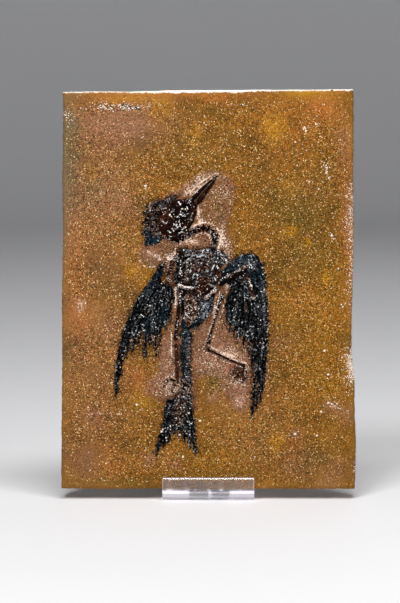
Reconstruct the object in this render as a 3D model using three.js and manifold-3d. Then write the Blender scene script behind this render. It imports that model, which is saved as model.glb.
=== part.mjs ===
// Fossil bird on a cast resin slab, standing in a small clear acrylic easel.
//
// Units are millimetres, +Z is up and the front looks along -Y. The origin is on the surface that
// the easel stands on, under the middle of its flat seat.
//
// Everything on the slab is drawn in the slab's own face frame: u runs to the right from the slab's
// centre line, v runs up from its bottom edge, and h stands out of the front face. One group then
// leans that frame back into the easel.

import * as THREE from "three";
import { mergeVertices } from "three/addons/utils/BufferGeometryUtils.js";
import Module from "manifold-3d";

const wasm = await Module();
wasm.setup();

// Driving dimensions of the slab
const SLAB_WIDTH = 110.5;
const SLAB_HEIGHT = 150;
const SLAB_THICKNESS = 9;
const SLAB_EDGE_BREAK = 0.7;
const LEAN = THREE.MathUtils.degToRad(8);

// Levels above the slab's front face, from the ground up
const GAP = 0.3;
const HALO_HEIGHT = 0.9;
const FILM_LOW = GAP;
const FILM_HIGH = 0.65;
const RACHIS_HEIGHT = 0.22;
const BONE_FLOOR = HALO_HEIGHT + GAP;
const FILM_BEVEL = 0.15;

// Driving dimensions of the easel, bent from one strip of clear sheet
const EASEL_WIDTH = 34.5;
const EASEL_SHEET = 2.5;
const LIP_HEIGHT = 8.5;
const BACKREST_LENGTH = 62;
const REAR_LEG_ANGLE = THREE.MathUtils.degToRad(24);
const TIGHT_BEND = 2.2;
const TOP_BEND = 6;
const BEND_STEPS = 5;

// Numbers of facets
const BONE_SIDES = 8;
const TOE_SIDES = 5;
const FEATHER_SIDES = 3;
const BONE_STEPS = 7;
const TOE_STEPS = 4;
const FEATHER_STEPS = 5;

// Colours read from the piece itself
const RESIN = new THREE.MeshStandardMaterial({ color: 0x9c6a35, roughness: 0.7, metalness: 0 });
const BONE = new THREE.MeshStandardMaterial({ color: 0x2a1712, roughness: 0.35, metalness: 0 });
const FILM = new THREE.MeshStandardMaterial({ color: 0x1b2228, roughness: 0.5, metalness: 0 });
const ACRYLIC = new THREE.MeshStandardMaterial({
  color: 0xe8eef2,
  roughness: 0.05,
  metalness: 0,
  transparent: true,
  opacity: 0.35,
});

// The slab's outline, anticlockwise from the bottom left corner. The right edge has lost some
// material between v 45 and 90.
const SLAB_OUTLINE = [
  [-55.3, 0.2], [-40, 0], [-20, 0.15], [0, 0], [22, 0.1], [40, 0], [55.1, 0.1],
  [55.5, 6], [55.6, 20], [55.2, 29], [55.2, 41], [54.6, 46], [54.1, 52], [54.1, 60],
  [54.5, 74], [54.9, 88], [55.1, 98], [54.9, 118], [55.1, 134], [55.0, 150.1],
  [40, 150.3], [12, 150.4], [-4, 150.1], [-16, 150.5], [-30, 150.2], [-41, 150.5], [-55, 150.3],
  [-54.9, 138], [-55.2, 118], [-54.9, 96], [-55.2, 70], [-55.1, 44], [-55.3, 18],
];

// Shallow spalls along the slab's front edges: centre, half sizes along u, v and h, and how far
// each is turned in the face
const SPALLS = [
  { at: [56.0, 48.5, 1.0], size: [3.6, 9.5, 2.6], turn: 0.12 },
  { at: [55.9, 104, 0.9], size: [2.2, 9, 2.0], turn: -0.05 },
  { at: [-31, 151.3, 0.9], size: [10, 1.8, 1.9], turn: 0.02 },
  { at: [4, 151.2, 0.9], size: [14, 1.6, 1.9], turn: 0.03 },
  { at: [56.3, 8.5, 1.0], size: [2.0, 5.5, 2.2], turn: 0 },
];

// The raised ground round the skeleton, where the matrix was worked away by hand
const HALO_OUTLINE = [
  [5.2, 119.7], [8.9, 117.4], [10, 113.4], [9.3, 108.4], [8.5, 104], [7.3, 99.8], [7.5, 95.5],
  [8.6, 91], [11, 86], [15.5, 76], [17, 60], [16.6, 50], [16.4, 44], [15.9, 38], [16.1, 33.4],
  [14.3, 30.2], [10, 29.8], [8.2, 33], [6.3, 37], [3.6, 41.4], [-1, 43.4], [-4.4, 41], [-4.6, 35],
  [-4.8, 30.5], [-8, 31], [-14, 32], [-18, 34.4], [-22, 36], [-23.2, 38.6], [-21.4, 41],
  [-18.8, 42.8], [-19.2, 47], [-18.6, 53], [-16, 60], [-14, 68], [-14.2, 77], [-16.4, 81],
  [-18.4, 84.2], [-21.4, 84.2], [-24.4, 85.8], [-25.8, 88.6], [-25, 91.6], [-22, 94], [-21.2, 99],
  [-21, 103], [-19, 107], [-15.4, 110.8], [-11.4, 113], [-7.4, 116], [-3.2, 118.5], [1, 119.9],
];

// Films of feather, drawn without the free tips of the long feathers
const CREST_OUTLINE = [
  [-12.8, 110.3], [-15.4, 110], [-18.2, 108.7], [-21, 107.4], [-23.6, 106.4], [-24, 103.5],
  [-23.9, 100.5], [-24.3, 97.5], [-24.4, 94.6], [-23, 92.3], [-20.4, 91.8], [-18.4, 92.8],
  [-19.3, 95], [-20.2, 98], [-20, 101.8], [-18.2, 105.6], [-15.6, 108.2],
];
const BODY_OUTLINE = [
  [-12.4, 88.6], [-10.6, 90.5], [-7, 90.5], [-3, 90.1], [1, 90.8], [4, 90], [6.4, 88.6],
  [8.2, 86.6], [6.4, 84.8], [4.4, 82.4], [3.7, 79.5], [3.2, 76.4], [4.8, 73.2], [3.8, 69.8],
  [2.4, 66.8], [0.6, 64.4], [-1.8, 62.4], [-3.8, 60.9], [-6, 60.2], [-9.8, 60.4], [-10.2, 64],
  [-10.4, 70], [-11.6, 74.5], [-12.6, 78], [-12.2, 83.5],
];
const LEFT_WING_OUTLINE = [
  [-16.5, 85.3], [-19, 83.2], [-20.8, 80], [-23, 76.6], [-26, 72.2], [-28.6, 68], [-30.4, 63.5],
  [-31.4, 59], [-30.4, 55.6], [-26, 58.5], [-22, 58.2], [-18.5, 59.6], [-15.6, 63], [-13.8, 67],
  [-13, 71.5], [-13.4, 76.2], [-15.4, 76.7], [-17.3, 78.2], [-17.2, 81.8],
];
const RIGHT_WING_OUTLINE = [
  [5, 81.4], [7.4, 84.2], [10, 86.7], [12.5, 88.2], [15.4, 88.8], [18.2, 88.1], [20.3, 86.2],
  [21.8, 83.2], [22.4, 79], [22.6, 73], [22.3, 66], [21.8, 60], [21.2, 54], [19.4, 50],
  [17, 51.5], [14, 56.5], [11, 59.4], [8.6, 62], [7.2, 65], [6.3, 68.2], [7, 71.6], [8.6, 74.8],
  [7.4, 77], [5.2, 78.8],
];
const TAIL_OUTLINE = [
  [-10.1, 59.5], [-10.1, 53], [-10.2, 47], [-9.9, 42], [-9.8, 38], [-11.4, 35.3], [-13.4, 33.9],
  [-15.2, 33.4], [-16.2, 30.6], [-16.6, 26.6], [-15.6, 23.4], [-12.7, 22.4], [-9, 21.6],
  [-6.2, 22.6], [-5.7, 26], [-5.9, 30], [-6.3, 34.5], [-6.2, 39], [-6.5, 44], [-6.6, 49],
  [-6.8, 54], [-6.2, 59.2],
];

// Feathers, each a quadratic curve from its root over a control point to its tip, with half its
// greatest width last
const CREST_PLUMES = [
  [[-18.8, 107.6], [-22, 108], [-26, 106.6], 0.8],
  [[-20.4, 105.4], [-23, 105.4], [-25.2, 104], 0.8],
  [[-21, 101.6], [-23.4, 101.4], [-25, 100], 0.8],
  [[-21.2, 98.2], [-23.4, 97.6], [-25.2, 96], 0.8],
  [[-20.8, 95.6], [-22.4, 93.8], [-23.6, 91.4], 0.9],
];
const BODY_PLUMES = [
  [[4.2, 72.6], [1.6, 67.6], [-4.4, 61.6], 0.9],
  [[2.4, 72], [0.2, 67.6], [-5.6, 61.6], 0.9],
  [[0.6, 71], [-1.6, 67], [-7, 61.4], 0.8],
];
const LEFT_WING_FEATHERS = [
  [[-19.8, 80.2], [-34, 61.5], [-35, 35.8], 1.2],
  [[-19.4, 79.2], [-32.4, 61], [-33.4, 42.4], 1.2],
  [[-19, 78.2], [-30.4, 60.5], [-30.8, 49.2], 1.3],
  [[-18.6, 77.4], [-28.4, 60.5], [-28.6, 51], 1.2],
  [[-18.2, 76.8], [-26.2, 62], [-26.3, 54], 1.1],
  [[-17.8, 76.4], [-24.4, 62], [-24, 50], 1.1],
  [[-17.2, 76], [-22.6, 62], [-22, 53.8], 1.1],
  [[-16.6, 75.8], [-20.8, 62], [-19.6, 50.4], 1.1],
  [[-16, 75.6], [-19, 64], [-18, 54.4], 1],
  [[-15.4, 75.4], [-17.2, 66], [-16.2, 59], 0.9],
  [[-14.6, 75.2], [-15.6, 68], [-14.3, 62.5], 0.8],
];
const RIGHT_WING_FEATHERS = [
  [[18.4, 85], [24.4, 70], [20.6, 41.6], 1.2],
  [[17.8, 82], [23, 66], [20.4, 36.4], 1.2],
  [[17.4, 79], [21.8, 62], [19.4, 32.6], 1.1],
  [[16.9, 76], [20.4, 58], [18.1, 29.4], 1],
  [[16.5, 73], [18.8, 54], [16.5, 26.4], 1],
  [[15.6, 74], [17.2, 60], [16.4, 45], 0.9],
  [[14.6, 75.4], [16.2, 62], [15.1, 49.8], 1.1],
  [[13.4, 75.8], [14.6, 64], [13.1, 53], 1.1],
  [[12, 75.8], [12.8, 66], [11.2, 55.4], 1.1],
  [[10.8, 75.6], [11, 67], [9.5, 56.9], 1],
  [[9.7, 75], [9.4, 68], [8.1, 59.2], 1],
  [[8.7, 74], [8, 69.5], [6.9, 62.4], 0.9],
];
const TAIL_FEATHERS = [
  [[-11.2, 34], [-16.6, 24.6], [-19.7, 12.2], 1.2],
  [[-10.8, 34], [-15.2, 24.6], [-17.3, 15.2], 1.2],
  [[-10.4, 34], [-13.8, 25.4], [-15.4, 17.3], 1.1],
  [[-10, 34], [-12.4, 26.4], [-13.4, 19.6], 1],
  [[-9.2, 34], [-10, 26.4], [-11.1, 19.4], 1],
  [[-8.8, 34], [-8.6, 25], [-9.1, 17.6], 1.1],
  [[-8.2, 34], [-7.4, 24], [-7.1, 15.4], 1.1],
  [[-7.6, 34], [-6.1, 23], [-4.8, 13.3], 1.1],
];

// Single long bones: both ends, then the half widths of the shaft and of the heads
const LONG_BONES = {
  left_coracoid: [[-10.2, 90], [-10.5, 79.4], 0.6, 1.1],
  left_humerus: [[-13.4, 86.4], [-15.6, 77.2], 0.7, 1.15],
  left_femur: [[-5.7, 75.7], [-11.9, 76.9], 0.6, 0.95],
  left_tibiotarsus: [[-10.2, 74.9], [-12.3, 55.8], 0.6, 0.95],
  left_tarsometatarsus: [[-12.3, 54.9], [-12, 41.4], 0.62, 0.9],
  right_shoulder_blade: [[2.9, 89.6], [8, 84.4], 0.5, 0.75],
  right_humerus: [[4, 85.2], [2.4, 78.2], 0.75, 1.15],
  right_femur: [[-1.4, 71.5], [3.7, 75.6], 0.6, 0.95],
  right_tibiotarsus: [[5.6, 73.6], [-0.1, 54.3], 0.6, 0.95],
  right_tarsometatarsus: [[-0.7, 52.4], [13, 46.7], 0.5, 0.9],
  right_radius: [[4.1, 78.6], [15, 84.2], 0.42, 0.6],
  right_ulna: [[3.7, 76.8], [14.6, 82.2], 0.6, 0.9],
  right_hand: [[15.6, 80.6], [16.9, 71.4], 0.6, 0.9],
};

// Toes, each a run of joints from the ankle to the claw
const LEFT_TOES = [
  [[-12, 40.6], [-14.6, 41.2], [-16.1, 39.4], [-17, 37.6]],
  [[-12, 40.6], [-13.9, 37.8], [-13, 35.6]],
  [[-12, 40.6], [-10.5, 37.9], [-8.9, 36.2]],
  [[-12, 40.6], [-9.9, 41.1], [-8.3, 39.8]],
];
const RIGHT_TOES = [
  [[13.9, 45.3], [11.2, 45.5], [9.2, 44.4], [8.3, 42.4]],
  [[13.9, 45.3], [14.6, 43.4], [13.7, 41.6], [11.8, 40.2]],
  [[13.9, 45.3], [12.4, 43.4], [10.7, 42.3], [9.7, 40.8]],
];
const TOE_HALF_WIDTH = 0.42;
const CLAW_HALF_WIDTH = 0.26;

// The skull is a dome over its outline, with the upper bill on its end and the eye socket sunk in
const SKULL_OUTLINE = [
  [-4.6, 107.6], [-7.2, 109.2], [-10.4, 109.4], [-13.4, 108.6], [-16.2, 106.7], [-18.2, 104],
  [-18.9, 101], [-18.6, 98.2], [-17.2, 96.2], [-14.8, 95.3], [-12.4, 95.7], [-10.2, 96.6],
  [-8.4, 98.3], [-6.9, 100.3], [-5.4, 102.6], [-4.6, 105.2],
];
const SKULL_CENTRE = [-12, 102.2];
const SKULL_RISE = 1.7;
const EYE_SOCKET = { at: [-8.6, 105.5], radius: 2.1, depth: 0.8 };
const UPPER_BILL = [[-8.5, 106.3], [3.9, 118.5], 1.5, 0.3];
const LOWER_BILL = [[-3.6, 107.2], [2.9, 116.1], 0.9, 0.3];

// The neck leaves the skull's underside, rises, and turns down into the shoulders
const NECK_LINE = [
  [-12.6, 93.5], [-9.6, 94.7], [-6.8, 96.4], [-4, 97.9], [-1.4, 98.4], [0.9, 97.6], [2.5, 95.8],
  [2.7, 93.6], [1.7, 91.4],
];
const NECK_VERTEBRAE = 10;
const VERTEBRA_HALF_LENGTH = 0.74;
const VERTEBRA_HALF_WIDTH = 1;
const VERTEBRA_RISE = 0.9;

const BACKBONE_LINE = [[0.9, 88.9], [0.3, 86], [-0.9, 83.2], [-2.2, 81.4]];
const BACKBONE_VERTEBRAE = 5;
const RIBS = [
  [[0.6, 88.4], [-3, 89.4], [-7.2, 88.4]],
  [[0.3, 86.8], [-2.6, 87.4], [-5, 86.6]],
  [[-0.1, 85.2], [-2.6, 85.2], [-4, 83.6]],
  [[-0.8, 83.6], [-2.8, 83.4], [-3.9, 82]],
];
const RIB_HALF_WIDTH = 0.36;
const WISHBONE_ARMS = [
  [[-7.4, 80.8], [-5, 85.4]],
  [[-7.4, 80.8], [-7.9, 86.4]],
];
const WISHBONE_HALF_WIDTH = 0.5;

const BREASTBONE_OUTLINE = [
  [-4.6, 79], [-2.4, 80], [0.4, 79.2], [0.9, 76.8], [-0.2, 75], [-1.9, 73.9], [-3.4, 71],
  [-4.6, 71.8], [-4.7, 75.6],
];
const BREASTBONE_KEEL = [[-1.8, 79.2], [-3.8, 72.4], 0.6];
const PELVIS_OUTLINE = [
  [-8.7, 72.6], [-6.6, 73.4], [-5.2, 71.6], [-4.4, 69], [-4.3, 65.4], [-5.6, 62.4], [-7.2, 61],
  [-8.4, 62], [-8.8, 65.4], [-8.7, 69],
];
const SACRUM_LINE = [[-6.4, 72.2], [-6.3, 67], [-7, 62.4]];
const SACRUM_VERTEBRAE = 6;
const FLAT_BONE_HEIGHT = 0.5;

// A closed geometry as a solid that can be joined and cut
function solidOf(geometry) {
  const plain = geometry.clone();
  plain.deleteAttribute("normal");
  plain.deleteAttribute("uv");
  const merged = mergeVertices(plain, 1e-4);
  return new wasm.Manifold(
    new wasm.Mesh({
      numProp: 3,
      vertProperties: merged.attributes.position.array,
      triVerts: new Uint32Array(merged.index.array),
    }),
  );
}

function geometryOf(solid) {
  const mesh = solid.getMesh();
  const positions = new Float32Array(mesh.numVert * 3);
  for (let i = 0; i < mesh.numVert; i++) {
    positions.set(mesh.vertProperties.subarray(i * mesh.numProp, i * mesh.numProp + 3), i * 3);
  }
  const geometry = new THREE.BufferGeometry();
  geometry.setAttribute("position", new THREE.BufferAttribute(positions, 3));
  geometry.setIndex(new THREE.BufferAttribute(new Uint32Array(mesh.triVerts), 1));
  geometry.computeVertexNormals();
  return geometry;
}

function joined(solids) {
  return solids.reduce((whole, solid) => whole.add(solid));
}

function named(name, solid, material) {
  const mesh = new THREE.Mesh(geometryOf(solid), material);
  mesh.name = name;
  return mesh;
}

// A closed outline through the points, rounded, or with its own corners
function outlineShape(points, rounded = true) {
  const corners = points.map(([u, v]) => new THREE.Vector2(u, v));
  if (!rounded) return new THREE.Shape(corners);
  const curve = new THREE.CatmullRomCurve3(
    corners.map((p) => new THREE.Vector3(p.x, p.y, 0)),
    true,
    "centripetal",
  );
  const samples = curve.getPoints(Math.round(points.length * 1.3)).slice(0, -1);
  return new THREE.Shape(samples.map((p) => new THREE.Vector2(p.x, p.y)));
}

// A flat piece between two levels, with broken edges, grown outwards by the given amount
function plate(shape, low, high, bevel, grow = 0) {
  const geometry = new THREE.ExtrudeGeometry(shape, {
    depth: high - low - 2 * bevel,
    bevelEnabled: true,
    bevelThickness: bevel,
    bevelSize: bevel,
    bevelOffset: grow - bevel,
    bevelSegments: 1,
    curveSegments: 1,
  });
  geometry.translate(0, 0, low + bevel);
  return solidOf(geometry);
}

// A solid swept along a curve that lies level, one corner of its section uppermost: halfWidth and
// halfHeight give the section at a share of the length, and its two ends are points
function sweep(curve, steps, sides, level, halfWidth, halfHeight) {
  const positions = [];
  const triangles = [];
  const ringStart = (i) => 1 + (i - 1) * sides;
  for (let i = 0; i <= steps; i++) {
    const share = i / steps;
    const centre = curve.getPointAt(share);
    if (i === 0 || i === steps) {
      positions.push(centre.x, centre.y, level);
      continue;
    }
    const along = curve.getTangentAt(share);
    for (let k = 0; k < sides; k++) {
      const angle = Math.PI / 2 + (2 * Math.PI * k) / sides;
      const across = halfWidth(share) * Math.cos(angle);
      positions.push(
        centre.x - along.y * across,
        centre.y + along.x * across,
        level + halfHeight(share) * Math.sin(angle),
      );
    }
  }
  const last = positions.length / 3 - 1;
  for (let k = 0; k < sides; k++) {
    const next = (k + 1) % sides;
    triangles.push(0, ringStart(1) + next, ringStart(1) + k);
    triangles.push(last, ringStart(steps - 1) + k, ringStart(steps - 1) + next);
    for (let i = 1; i < steps - 1; i++) {
      const [a, b] = [ringStart(i) + k, ringStart(i) + next];
      const [c, d] = [ringStart(i + 1) + k, ringStart(i + 1) + next];
      triangles.push(a, d, c, a, b, d);
    }
  }
  const geometry = new THREE.BufferGeometry();
  geometry.setAttribute("position", new THREE.Float32BufferAttribute(positions, 3));
  geometry.setIndex(triangles);
  return solidOf(geometry);
}

function point3([u, v]) {
  return new THREE.Vector3(u, v, 0);
}

function lineBetween(from, to) {
  return new THREE.LineCurve3(point3(from), point3(to));
}

// Half the width of a limb bone at a share of its length: a slim shaft between two rounded heads
function limbProfile(length, shaft, head) {
  return (share) => {
    const fromEnd = Math.min(share, 1 - share) * length;
    const swell = Math.exp(-((fromEnd / (1.6 * head)) ** 2));
    const rounding = Math.min(1, fromEnd / (0.8 * head)) ** 0.5;
    return (shaft + (head - shaft) * swell) * rounding;
  };
}

// Spreads the stations of a limb bone towards its heads
function crowdedEnds(curve) {
  const crowded = curve.clone();
  const place = (share) => 0.5 - 0.5 * Math.cos(Math.PI * share);
  crowded.getPointAt = (share) => curve.getPoint(place(share));
  crowded.getTangentAt = (share) => curve.getTangent(place(share));
  return { crowded, place };
}

// Cuts away what lies under the level on which the bones rest
function trimmed(solid, level = BONE_FLOOR) {
  const depth = 10;
  const box = new THREE.BoxGeometry(300, 400, depth);
  box.translate(0, 0, level - depth / 2);
  return solid.subtract(solidOf(box));
}

const BONE_SINK = 0.15;
const BONE_FLATNESS = 0.85;

function limb(from, to, shaft, head, sides = BONE_SIDES, steps = BONE_STEPS) {
  const line = lineBetween(from, to);
  const profile = limbProfile(line.getLength(), shaft, head);
  const { crowded, place } = crowdedEnds(line);
  const width = (share) => profile(place(share));
  const height = (share) => BONE_FLATNESS * profile(place(share));
  return trimmed(sweep(crowded, steps, sides, BONE_FLOOR + BONE_SINK, width, height));
}

// A bill half: thick at its root and tapering to the tip
function bill(from, to, root, tip) {
  const width = (share) => (root + (tip - root) * share) * Math.min(1, share * 4, (1 - share) * 8);
  const height = (share) => 0.9 * width(share);
  const line = lineBetween(from, to);
  return trimmed(sweep(line, BONE_STEPS + 2, BONE_SIDES, BONE_FLOOR + BONE_SINK, width, height));
}

// A rounded block, flat underneath, lying on the bones' level
function block([u, v], halfLength, halfWidth, rise, turn) {
  const geometry = new THREE.SphereGeometry(1, 6, 4);
  geometry.rotateX(Math.PI / 2);
  geometry.rotateZ(Math.PI / 6);
  geometry.scale(halfLength, halfWidth, rise);
  geometry.rotateZ(turn);
  geometry.translate(u, v, BONE_FLOOR);
  return trimmed(solidOf(geometry));
}

// A flat bone that swells from its outline towards its middle
function dome(points, [centreU, centreV], rise) {
  const rings = [[1, 0], [1, 0.4], [0.82, 0.78], [0.5, 0.96]];
  const rim = outlineShape(points).getPoints();
  const positions = [centreU, centreV, BONE_FLOOR];
  for (const [spread, height] of rings) {
    for (const { x, y } of rim) {
      positions.push(
        centreU + spread * (x - centreU),
        centreV + spread * (y - centreV),
        BONE_FLOOR + rise * height,
      );
    }
  }
  positions.push(centreU, centreV, BONE_FLOOR + rise);
  const last = positions.length / 3 - 1;
  const isClockwise = THREE.ShapeUtils.area(rim) < 0;
  const triangles = [];
  rim.forEach((_, k) => {
    const here = isClockwise ? (k + 1) % rim.length : k;
    const next = isClockwise ? k : (k + 1) % rim.length;
    triangles.push(0, 1 + next, 1 + here);
    rings.slice(1).forEach((_ring, i) => {
      const [low, high] = [1 + i * rim.length, 1 + (i + 1) * rim.length];
      triangles.push(low + here, low + next, high + next, low + here, high + next, high + here);
    });
    const top = 1 + (rings.length - 1) * rim.length;
    triangles.push(top + here, top + next, last);
  });
  const geometry = new THREE.BufferGeometry();
  geometry.setAttribute("position", new THREE.Float32BufferAttribute(positions, 3));
  geometry.setIndex(triangles);
  return solidOf(geometry);
}

// A row of vertebrae: small blocks in line, held together by the core that runs through them
function vertebrae(points, count, halfLength, halfWidth) {
  const line = new THREE.CatmullRomCurve3(points.map(point3), false, "centripetal");
  const blocks = [];
  for (let i = 0; i < count; i++) {
    const share = (i + 0.5) / count;
    const centre = line.getPointAt(share);
    const along = line.getTangentAt(share);
    const turn = Math.atan2(along.y, along.x);
    blocks.push(block([centre.x, centre.y], halfLength, halfWidth, VERTEBRA_RISE, turn));
  }
  const core = sweep(
    line,
    count,
    4,
    BONE_FLOOR + BONE_SINK,
    (share) => 0.4 * halfWidth * Math.min(1, share * 8, (1 - share) * 8),
    () => 0.4,
  );
  return joined([...blocks, trimmed(core)]);
}

function toes(chains) {
  const joints = [];
  for (const chain of chains) {
    for (let i = 0; i + 1 < chain.length; i++) {
      const isClaw = i + 2 === chain.length;
      const shaft = isClaw ? CLAW_HALF_WIDTH : TOE_HALF_WIDTH;
      const [from, to] = [point3(chain[i]), point3(chain[i + 1])];
      const reach = to.clone().sub(from).normalize().multiplyScalar(TOE_HALF_WIDTH);
      const start = from.clone().sub(reach);
      const end = to.clone().add(reach);
      joints.push(limb([start.x, start.y], [end.x, end.y], shaft, 1.5 * shaft, TOE_SIDES, TOE_STEPS));
    }
  }
  return joined(joints);
}

// One feather: a lens in plan with a low roof section, so that its shaft shows as a ridge
function feather([root, control, tip, halfWidth]) {
  const curve = new THREE.QuadraticBezierCurve3(point3(root), point3(control), point3(tip));
  const reach = halfWidth / Math.cos(Math.PI / 6);
  const width = (share) => reach * lens(share);
  const height = () => RACHIS_HEIGHT;
  return sweep(curve, FEATHER_STEPS, FEATHER_SIDES, FILM_HIGH - 0.02, width, height);
}

// How wide a feather is at a share of its length, against its greatest width
function lens(share) {
  return Math.sin(Math.PI * share ** 0.8) ** 0.6;
}

// The room that one feather needs in the raised ground, seen from the front
function featherBed([root, control, tip, halfWidth]) {
  const curve = new THREE.QuadraticBezierCurve3(point3(root), point3(control), point3(tip));
  const sides = { left: [], right: [] };
  for (let i = 0; i <= FEATHER_STEPS; i++) {
    const share = i / FEATHER_STEPS;
    const isEnd = i === 0 || i === FEATHER_STEPS;
    const along = curve.getTangentAt(share);
    const across = isEnd ? GAP : halfWidth * lens(share) + GAP;
    const ahead = isEnd ? Math.sign(share - 0.5) * GAP : 0;
    const middle = curve.getPointAt(share).addScaledVector(along, ahead);
    sides.left.push(new THREE.Vector2(middle.x - along.y * across, middle.y + along.x * across));
    sides.right.push(new THREE.Vector2(middle.x + along.y * across, middle.y - along.x * across));
  }
  return new THREE.Shape([...sides.left, ...sides.right.reverse()]);
}

function featherFilm(outline, feathers) {
  const film = plate(outlineShape(outline), FILM_LOW, FILM_HIGH, FILM_BEVEL);
  return joined([film, ...feathers.map(feather)]);
}

function slab() {
  const body = plate(
    outlineShape(SLAB_OUTLINE, false),
    -SLAB_THICKNESS,
    0,
    SLAB_EDGE_BREAK,
  );
  const halo = plate(outlineShape(HALO_OUTLINE, false), -1, HALO_HEIGHT, 0.3);
  const films = [
    CREST_OUTLINE,
    BODY_OUTLINE,
    LEFT_WING_OUTLINE,
    RIGHT_WING_OUTLINE,
    TAIL_OUTLINE,
  ].map((outline) => plate(outlineShape(outline), 0, HALO_HEIGHT + 1, 0.1, GAP));
  const feathers = [
    ...CREST_PLUMES,
    ...BODY_PLUMES,
    ...LEFT_WING_FEATHERS,
    ...RIGHT_WING_FEATHERS,
    ...TAIL_FEATHERS,
  ].map((spec) => plate(featherBed(spec), 0, HALO_HEIGHT + 1, 0.1));
  const ground = [...films, ...feathers].reduce((left, cutter) => left.subtract(cutter), halo);
  const whole = largestPart(body.add(ground));
  return SPALLS.reduce((left, spall) => {
    const hollow = new THREE.IcosahedronGeometry(1, 1);
    hollow.scale(...spall.size);
    hollow.rotateZ(spall.turn);
    hollow.translate(...spall.at);
    return left.subtract(solidOf(hollow));
  }, whole);
}

function largestPart(solid) {
  return solid.decompose().sort((a, b) => b.volume() - a.volume())[0];
}

function skull() {
  const cranium = dome(SKULL_OUTLINE, SKULL_CENTRE, SKULL_RISE);
  const socket = new THREE.SphereGeometry(EYE_SOCKET.radius, 10, 8);
  socket.translate(
    ...EYE_SOCKET.at,
    BONE_FLOOR + SKULL_RISE + EYE_SOCKET.radius - EYE_SOCKET.depth,
  );
  return cranium.add(bill(...UPPER_BILL)).subtract(solidOf(socket));
}

function ribcage() {
  const spine = vertebrae(BACKBONE_LINE, BACKBONE_VERTEBRAE, 0.62, 0.8);
  const ribs = RIBS.map(([root, control, tip]) => {
    const curve = new THREE.QuadraticBezierCurve3(point3(root), point3(control), point3(tip));
    const width = (share) => RIB_HALF_WIDTH * Math.sin(Math.PI * share) ** 0.3;
    return trimmed(sweep(curve, TOE_STEPS, TOE_SIDES, BONE_FLOOR + BONE_SINK, width, width));
  });
  return joined([spine, ...ribs]);
}

function wishbone() {
  const arms = WISHBONE_ARMS.map(([from, to]) =>
    limb(from, to, WISHBONE_HALF_WIDTH, 1.3 * WISHBONE_HALF_WIDTH, TOE_SIDES, TOE_STEPS + 1),
  );
  return joined(arms);
}

function breastbone() {
  const top = BONE_FLOOR + FLAT_BONE_HEIGHT;
  const blade = plate(outlineShape(BREASTBONE_OUTLINE), BONE_FLOOR, top, 0.2);
  const [from, to, halfWidth] = BREASTBONE_KEEL;
  const width = (share) => halfWidth * Math.sin(Math.PI * share) ** 0.5;
  const keel = sweep(lineBetween(from, to), 6, TOE_SIDES, top, width, width);
  return blade.add(keel);
}

function pelvis() {
  const blade = plate(
    outlineShape(PELVIS_OUTLINE),
    BONE_FLOOR,
    BONE_FLOOR + FLAT_BONE_HEIGHT,
    0.2,
  );
  return blade.add(vertebrae(SACRUM_LINE, SACRUM_VERTEBRAE, 0.78, 0.85));
}

// The easel's side view. Every bend is an arc, and the sheet keeps its thickness throughout.
function easel() {
  const half = EASEL_SHEET / 2;
  const lipMiddle = seat.lipInner - half;
  const backDirection = new THREE.Vector2(Math.sin(LEAN), Math.cos(LEAN));
  const backNormal = new THREE.Vector2(backDirection.y, -backDirection.x);
  const backFoot = seat.backFace.clone().addScaledVector(backNormal, half);
  const along = (half - backFoot.y) / backDirection.y;
  const backBottom = backFoot.clone().addScaledVector(backDirection, along);
  const backTop = backBottom.clone().addScaledVector(backDirection, BACKREST_LENGTH);
  const legReach = backTop.y * Math.tan(REAR_LEG_ANGLE);
  const legFoot = new THREE.Vector2(backTop.x + legReach, 0);
  const corners = [
    { at: new THREE.Vector2(lipMiddle, LIP_HEIGHT), radius: 0 },
    { at: new THREE.Vector2(lipMiddle, half), radius: TIGHT_BEND },
    { at: backBottom, radius: TIGHT_BEND },
    { at: backTop, radius: TOP_BEND },
    { at: legFoot, radius: 0 },
  ];
  const line = roundedLine(corners);
  const left = line.map(({ at, normal }) => at.clone().addScaledVector(normal, half));
  const right = line.map(({ at, normal }) => at.clone().addScaledVector(normal, -half));
  const lastTwo = (side) => side.slice(-2);
  for (const side of [left, right]) {
    const [before, end] = lastTwo(side);
    const share = before.y / (before.y - end.y);
    end.copy(before.clone().lerp(end, share));
  }
  const shape = new THREE.Shape([...left, ...right.reverse()]);
  const geometry = new THREE.ExtrudeGeometry(shape, { depth: EASEL_WIDTH, bevelEnabled: false });
  geometry.translate(0, 0, -EASEL_WIDTH / 2);
  const toYZ = new THREE.Matrix4().makeBasis(
    new THREE.Vector3(0, 1, 0),
    new THREE.Vector3(0, 0, 1),
    new THREE.Vector3(1, 0, 0),
  );
  geometry.applyMatrix4(toYZ);
  return solidOf(geometry);
}

// Points and normals along a line of straight runs joined by arcs
function roundedLine(corners) {
  const out = [];
  const normalOf = (direction) => new THREE.Vector2(-direction.y, direction.x);
  corners.forEach(({ at, radius }, i) => {
    const before = i > 0 ? at.clone().sub(corners[i - 1].at).normalize() : null;
    const after = i + 1 < corners.length ? corners[i + 1].at.clone().sub(at).normalize() : null;
    if (!before || !after) {
      out.push({ at: at.clone(), normal: normalOf(before ?? after) });
      return;
    }
    const turn = Math.atan2(before.x * after.y - before.y * after.x, before.dot(after));
    const setback = radius * Math.tan(Math.abs(turn) / 2);
    const centre = at
      .clone()
      .addScaledVector(before, -setback)
      .addScaledVector(normalOf(before), Math.sign(turn) * radius);
    for (let k = 0; k <= BEND_STEPS; k++) {
      const direction = before.clone().rotateAround(new THREE.Vector2(), (turn * k) / BEND_STEPS);
      const normal = normalOf(direction);
      const place = centre.clone().addScaledVector(normal, -Math.sign(turn) * radius);
      out.push({ at: place, normal });
    }
  });
  return out;
}

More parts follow.
